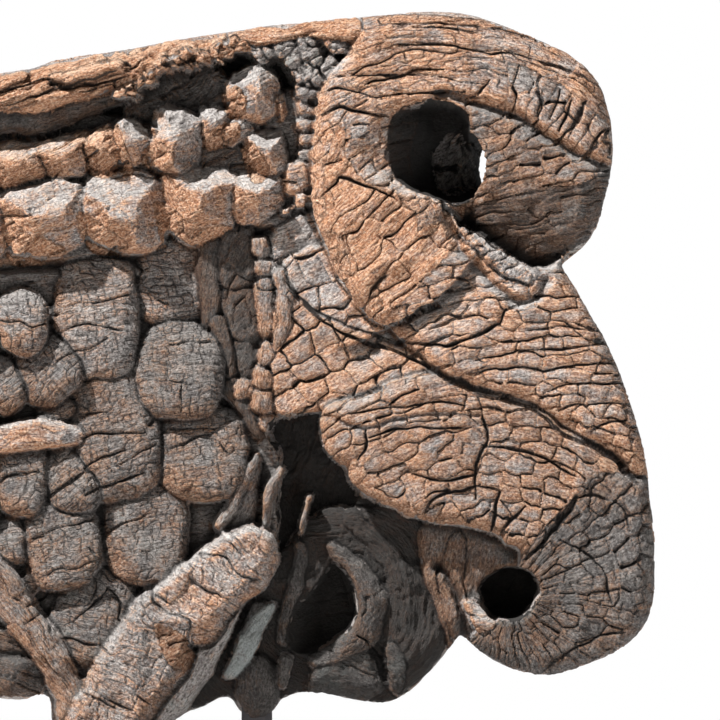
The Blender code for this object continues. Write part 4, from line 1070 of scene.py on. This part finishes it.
# The walls of the eye's passage are painted dark with shade.
layers["dirt_and_shade"] += PASSAGE_SHADE * (1 - at_front) * around_eye * sideways
layers["joint"] = np.clip(joint / FULL_JOINT, 0, 1)
layers["worn"] = np.clip(-bend * BEND_SHOWN, 0, 1)
# Painted shade in creases, where the surface bends inwards.
layers["crease"] = np.clip(bend * BEND_SHOWN, 0, 1)
layers["brick"] = value
slope_down, slope_right = (np.gradient(softened(face.depth, 3), axis=axis) for axis in (0, 1))
# A painted highlight on slopes that face up towards the light.
layers["bleached"] = np.clip(face.read(slope_down, column, row) * 0.9 - 0.1, 0, 1) * at_front
layers["torn"] = np.clip(face.read(slope_right - slope_down, column, row) * 0.8 - 0.1, 0, 1) * at_front
layers["hairline"] = hairline


# So fine a surface is a heavy mesh, so it is kept in lengths of the baulk that meet edge to edge.
corners = np.empty(3 * len(mesh.polygons), np.int32)
mesh.loops.foreach_get("vertex_index", corners)
corners = corners.reshape(-1, 3)
lengths = []
for count, own in enumerate(np.array_split(np.argsort(points[corners, 0].sum(1)), LENGTHS)):
    used, local = np.unique(corners[own], return_inverse=True)
    part = bpy.data.meshes.new(f"weathered_corbel_{count + 1}")
    part.from_pydata(points[used], [], local.reshape(-1, 3))
    part.shade_smooth()
    part.normals_split_custom_set_from_vertices(normals[used])
    for name, values in layers.items():
        layer = part.attributes.new(name, "FLOAT", "POINT").data
        layer.foreach_set("value", values[used].astype(np.float32))
    ways = part.attributes.new("grain", "FLOAT_VECTOR", "POINT").data
    ways.foreach_set("vector", grain[used].astype(np.float32).ravel())
    length = bpy.data.objects.new(part.name, part)
    bpy.context.scene.collection.objects.link(length)
    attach(length, "root")
    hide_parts("carved_corbel")
    lengths.append(length)
bpy.data.objects.remove(corbel)


# The wood's finish
# Bare hardwood gone silver-grey and lilac, still orange-brown on torn and worn edges, black down
# its joints and hairlines, dirty and darkened with painted shade in hollows, creases and shaded forms,
# with a painted highlight on its upward slopes, and dusted with pale lichen low down.
class Socket:
    """A node's output. Sums and products of these add Math nodes to the material."""

    def __init__(self, output):
        self.output = output

    def node(self, kind, settings, values, result=0):
        """Adds a node with its settings, fills its sockets with values or links, returns one output."""
        tree = self.output.id_data
        made = tree.nodes.new("ShaderNode" + kind)
        for name, value in settings.items():
            setattr(made, name, value)
        for name, value in values.items():
            if isinstance(value, Socket):
                tree.links.new(value.output, made.inputs[name])
            else:
                made.inputs[name].default_value = value
        return Socket(made.outputs[result])

    def math(self, operation, other):
        """A Math node on this value and another."""
        return self.node("Math", {"operation": operation}, {0: self, 1: other})

    def __add__(self, other):
        return self.math("ADD", other)

    __radd__ = __add__

    def __sub__(self, other):
        return self.math("SUBTRACT", other)

    def __rsub__(self, other):
        return self.node("Math", {"operation": "SUBTRACT"}, {0: other, 1: self})

    def __mul__(self, other):
        return self.math("MULTIPLY", other)

    __rmul__ = __mul__

    def between(self, low, high):
        """From 0 at low to 1 at high, held at both ends."""
        values = {"Value": self, "From Min": low, "From Max": high}
        return self.node("MapRange", {"interpolation_type": "SMOOTHSTEP"}, values)

    def mix(self, low, high):
        """A colour from low to high by this share."""
        low, high = [(*colour, 1) if isinstance(colour, tuple) else colour for colour in (low, high)]
        return self.node("Mix", {"data_type": "RGBA"}, {0: self, 6: low, 7: high}, 2)

    def stretched(self, along, across, deep):
        """Coordinates for a texture whose grains are so many divisions long, wide and deep."""
        size = (1 / along, 1 / across, 1 / deep)
        return self.node("VectorMath", {"operation": "MULTIPLY"}, {0: self, 1: size})

    def noise(self, detail, rough=0.55):
        """An uneven value about one unit of these coordinates wide."""
        values = {"Vector": self, "Scale": 1.0, "Detail": detail, "Roughness": rough}
        return self.node("TexNoise", {}, values)

    def moved(self, reach, by):
        """These coordinates, shifted as far as reach by another texture."""
        return self.node("VectorMath", {"operation": "MULTIPLY_ADD"}, {0: by, 1: (reach,) * 3, 2: self})

    def bricks(self, offset, length, height, mortar):
        """How far each place lies in the joints of a course of bricks."""
        values = {"Vector": self, "Scale": 1.0, "Mortar Size": mortar, "Mortar Smooth": 1.0}
        values.update({"Brick Width": length, "Row Height": height})
        return self.node("TexBrick", {"offset": offset}, values, "Fac")

    def feed(self, shader, name):
        """Links this socket to one of a shader's inputs."""
        self.output.id_data.links.new(self.output, shader.inputs[name])


def shade(*seen):
    """A colour as seen on a screen, from 0 to 255, as light."""
    return tuple((c / 255 / 12.92 if c <= 10 else ((c / 255 + 0.055) / 1.055) ** 2.4) for c in seen)


def new_material(name):
    """A material with its Principled shader and a socket to start expressions from."""
    made = bpy.data.materials.new(name)
    made.use_nodes = True
    shader = made.node_tree.nodes["Principled BSDF"]
    start = made.node_tree.nodes.new("ShaderNodeTexCoord")
    return made, shader, Socket(start.outputs["Object"])


wood, wood_shader, place = new_material("weathered hardwood")
reading = {name: place.node("Attribute", {"attribute_name": name}, {}, "Fac") for name in layers}
along_grain = place.node("Attribute", {"attribute_name": "grain"}, {}, "Vector")
drawn = place.node("VectorMath", {"operation": "MULTIPLY"}, {0: place, 1: (1 / division,) * 3})

drift = along_grain.stretched(34, 34, 34).noise(1)
flutter = along_grain.stretched(8, 8, 8).noise(1)
wavy_grain = along_grain.moved(9, drift).moved(4, flutter)
streaks = wavy_grain.stretched(24, 2.2, 3).noise(4, 0.65)
fine_grain = wavy_grain.stretched(13, 2.1, 2.1).noise(4, 0.7)
speckle = along_grain.stretched(2.8, 2.2, 2.2).noise(3, 0.7)
grit = drawn.stretched(4.2, 4.2, 4.2).noise(4, 0.7)
mottle = drawn.stretched(26, 26, 26).noise(4, 0.62)
patches = drawn.stretched(70, 70, 70).noise(3, 0.55)
courses = wavy_grain.bricks(0.37, 19.0, 4.7, 0.35) * grit.between(0.42, 0.62) * mottle.between(0.4, 0.56)
squares = along_grain.moved(6, flutter).bricks(0.5, 11.0, 5.6, 0.45)
weave = squares * grit.between(0.4, 0.58) * reading["weave"]
hairlines = courses.math("MAXIMUM", reading["hairline"] * 0.85).math("MAXIMUM", weave)

# The tints of the bare wood, worn and torn wood, its dark grain, and what lies on it.
GREY_WOOD = shade(140, 132, 129)
PALE_WOOD = shade(213, 201, 191)
ORANGE_WOOD = shade(192, 138, 100)
RED_WOOD = shade(152, 95, 64)
PALE_GREY = shade(207, 202, 197)
PALE_ORANGE = shade(224, 196, 170)
DARK_GREY = shade(62, 55, 52)
DARK_RED = shade(88, 52, 34)
JOINT_BLACK = shade(21, 16, 13)
# Near-black for dirt and for painted shade.
DIRT_AND_SHADE = shade(27, 24, 21)
LICHEN = shade(150, 158, 156)

stains = drawn.stretched(20, 13, 13).noise(3, 0.6)
# The painted shade in hollows and the painted highlight on upward slopes also take warmth away.
warm_share = (
    reading["warm"] + (patches - 0.5) * 0.9 + (mottle - 0.5) * 0.7 + (stains - 0.5) * 1.1
    + reading["worn"] * 0.7 + reading["torn"] * 0.5 - reading["bleached"] * 0.3
    + (reading["brick"] - 0.5) * 0.2 - reading["hollow"] * 0.3
).between(0.25, 1.05)
grey = mottle.between(0.35, 0.8).mix(GREY_WOOD, PALE_WOOD)
orange = streaks.between(0.25, 0.65).mix(RED_WOOD, ORANGE_WOOD)
colour = warm_share.mix(grey, orange)
pale = warm_share.mix(PALE_GREY, PALE_ORANGE)
dark = warm_share.mix(DARK_GREY, DARK_RED)
colour = (streaks.between(0.55, 0.3) * 0.55).mix(colour, dark)
colour = (speckle.between(0.5, 0.64) * 0.6).mix(colour, pale)
colour = (speckle.between(0.5, 0.34) * 0.85).mix(colour, dark)
colour = (fine_grain.between(0.52, 0.66) * 0.4).mix(colour, pale)
colour = (fine_grain.between(0.5, 0.36) * 0.5).mix(colour, dark)
colour = (reading["worn"] * 0.45 * grit.between(0.35, 0.6)).mix(colour, pale)
# A painted highlight on upward slopes.
colour = (reading["bleached"] * 0.6 * grit.between(0.3, 0.6)).mix(colour, pale)
lichen = (reading["lichen"] + (mottle - 0.5) * 1.8 + (speckle - 0.5) * 1.0).between(0.5, 0.95)
colour = (lichen * 0.75).mix(colour, LICHEN)
# Dirt and painted shade: near-black in hollows, pockets and forms that lie in shade.
dirt_and_shade = (reading["dirt_and_shade"] + reading["hollow"] * 0.5 + (grit - 0.5) * 0.4).between(0.1, 1.1)
colour = (dirt_and_shade * 0.96).mix(colour, DIRT_AND_SHADE)
# Painted shade darkens the creases.
colour = (reading["crease"] * 0.5).mix(colour, dark)
colour = (hairlines * 0.85).mix(colour, JOINT_BLACK)
colour = (reading["joint"].between(0.3, 0.95) * 0.93).mix(colour, JOINT_BLACK)
colour.feed(wood_shader, "Base Color")
(0.78 + speckle * 0.16).feed(wood_shader, "Roughness")
wood_shader.inputs["Specular IOR Level"].default_value = 0.3

height = streaks * 0.7 + fine_grain * 0.6 + speckle * 0.8 + grit * 0.5 - hairlines * 0.8
bump = {"Strength": 1.0, "Distance": 0.0050, "Height": height}
height.node("Bump", {}, bump).feed(wood_shader, "Normal")
for length in lengths:
    length.data.materials.append(wood)


# The stand
# A square steel bar let up into the wood and welded to a flat steel foot, brushed with matt
# near-black paint.
paint, paint_shader, place = new_material("matt black paint")
drawn = place.node("VectorMath", {"operation": "MULTIPLY"}, {0: place, 1: (1000, 1000, 1000)})
brushed = drawn.stretched(3, 3, 60).noise(4)
dust = drawn.stretched(30, 30, 30).noise(4, 0.6)
coat = (brushed * 0.5 + dust * 0.5).between(0.35, 0.7).mix(shade(30, 26, 30), shade(48, 43, 44))
coat.feed(paint_shader, "Base Color")
(0.42 + dust * 0.3).feed(paint_shader, "Roughness")
height = brushed * 0.6 + dust * 0.4
bump = {"Strength": 0.25, "Distance": 0.0004, "Height": height}
height.node("Bump", {}, bump).feed(paint_shader, "Normal")
for name in ("stand_post", "stand_foot"):
    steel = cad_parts[name]
    steel.data.materials.clear()
    steel.data.materials.append(paint)


# The studio
# A plain pale floor, one key light from the upper left in front, an even white surround that
# fills the shade, and a long lens level with the middle of the carving.
FLOOR_HALF = 3.0
FLOOR_GAP = 0.001
shape = bmesh.new()
bmesh.ops.create_grid(shape, x_segments=1, y_segments=1, size=FLOOR_HALF)
floor_mesh = bpy.data.meshes.new("floor")
shape.to_mesh(floor_mesh)
shape.free()
floor = bpy.data.objects.new("floor", floor_mesh)
bpy.context.scene.collection.objects.link(floor)
floor.location.z = -FLOOR_GAP
floor_paint, floor_shader, _ = new_material("pale floor")
floor_shader.inputs["Base Color"].default_value = (0.8, 0.8, 0.8, 1)
floor_shader.inputs["Roughness"].default_value = 0.7
floor_mesh.materials.append(floor_paint)

KEY_DIRECTION = (0.50, 0.37, -0.78)
KEY_STRENGTH = 11.3
KEY_SPREAD = 0.03
FILL = 0.145
key = bpy.data.objects.new("key", bpy.data.lights.new("key", "SUN"))
bpy.context.scene.collection.objects.link(key)
key.data.energy = KEY_STRENGTH
key.data.angle = KEY_SPREAD
key.rotation_euler = Vector(KEY_DIRECTION).to_track_quat("-Z", "Y").to_euler()
world = bpy.data.worlds.new("white surround")
bpy.context.scene.world = world
bpy.context.scene.view_settings.view_transform = "Standard"
world.use_nodes = True
surround = world.node_tree.nodes["Background"]
seen = Socket(world.node_tree.nodes.new("ShaderNodeLightPath").outputs["Is Camera Ray"])
strength = seen * (1 - FILL) + FILL
strength.feed(surround, "Strength")
surround.inputs["Color"].default_value = (1, 1, 1, 1)

PHOTO_MIDDLE = (360, 360)
CAMERA_DISTANCE = 10.0
LENS = 600
camera = bpy.data.objects.new("camera", bpy.data.cameras.new("camera"))
bpy.context.scene.collection.objects.link(camera)
camera.location = (at_column(PHOTO_MIDDLE[0]), -CAMERA_DISTANCE, at_row(PHOTO_MIDDLE[1]))
camera.rotation_euler = (math.pi / 2, 0, 0)
camera.data.lens = LENS
camera.data.clip_end = 100
bpy.context.scene.camera = camera
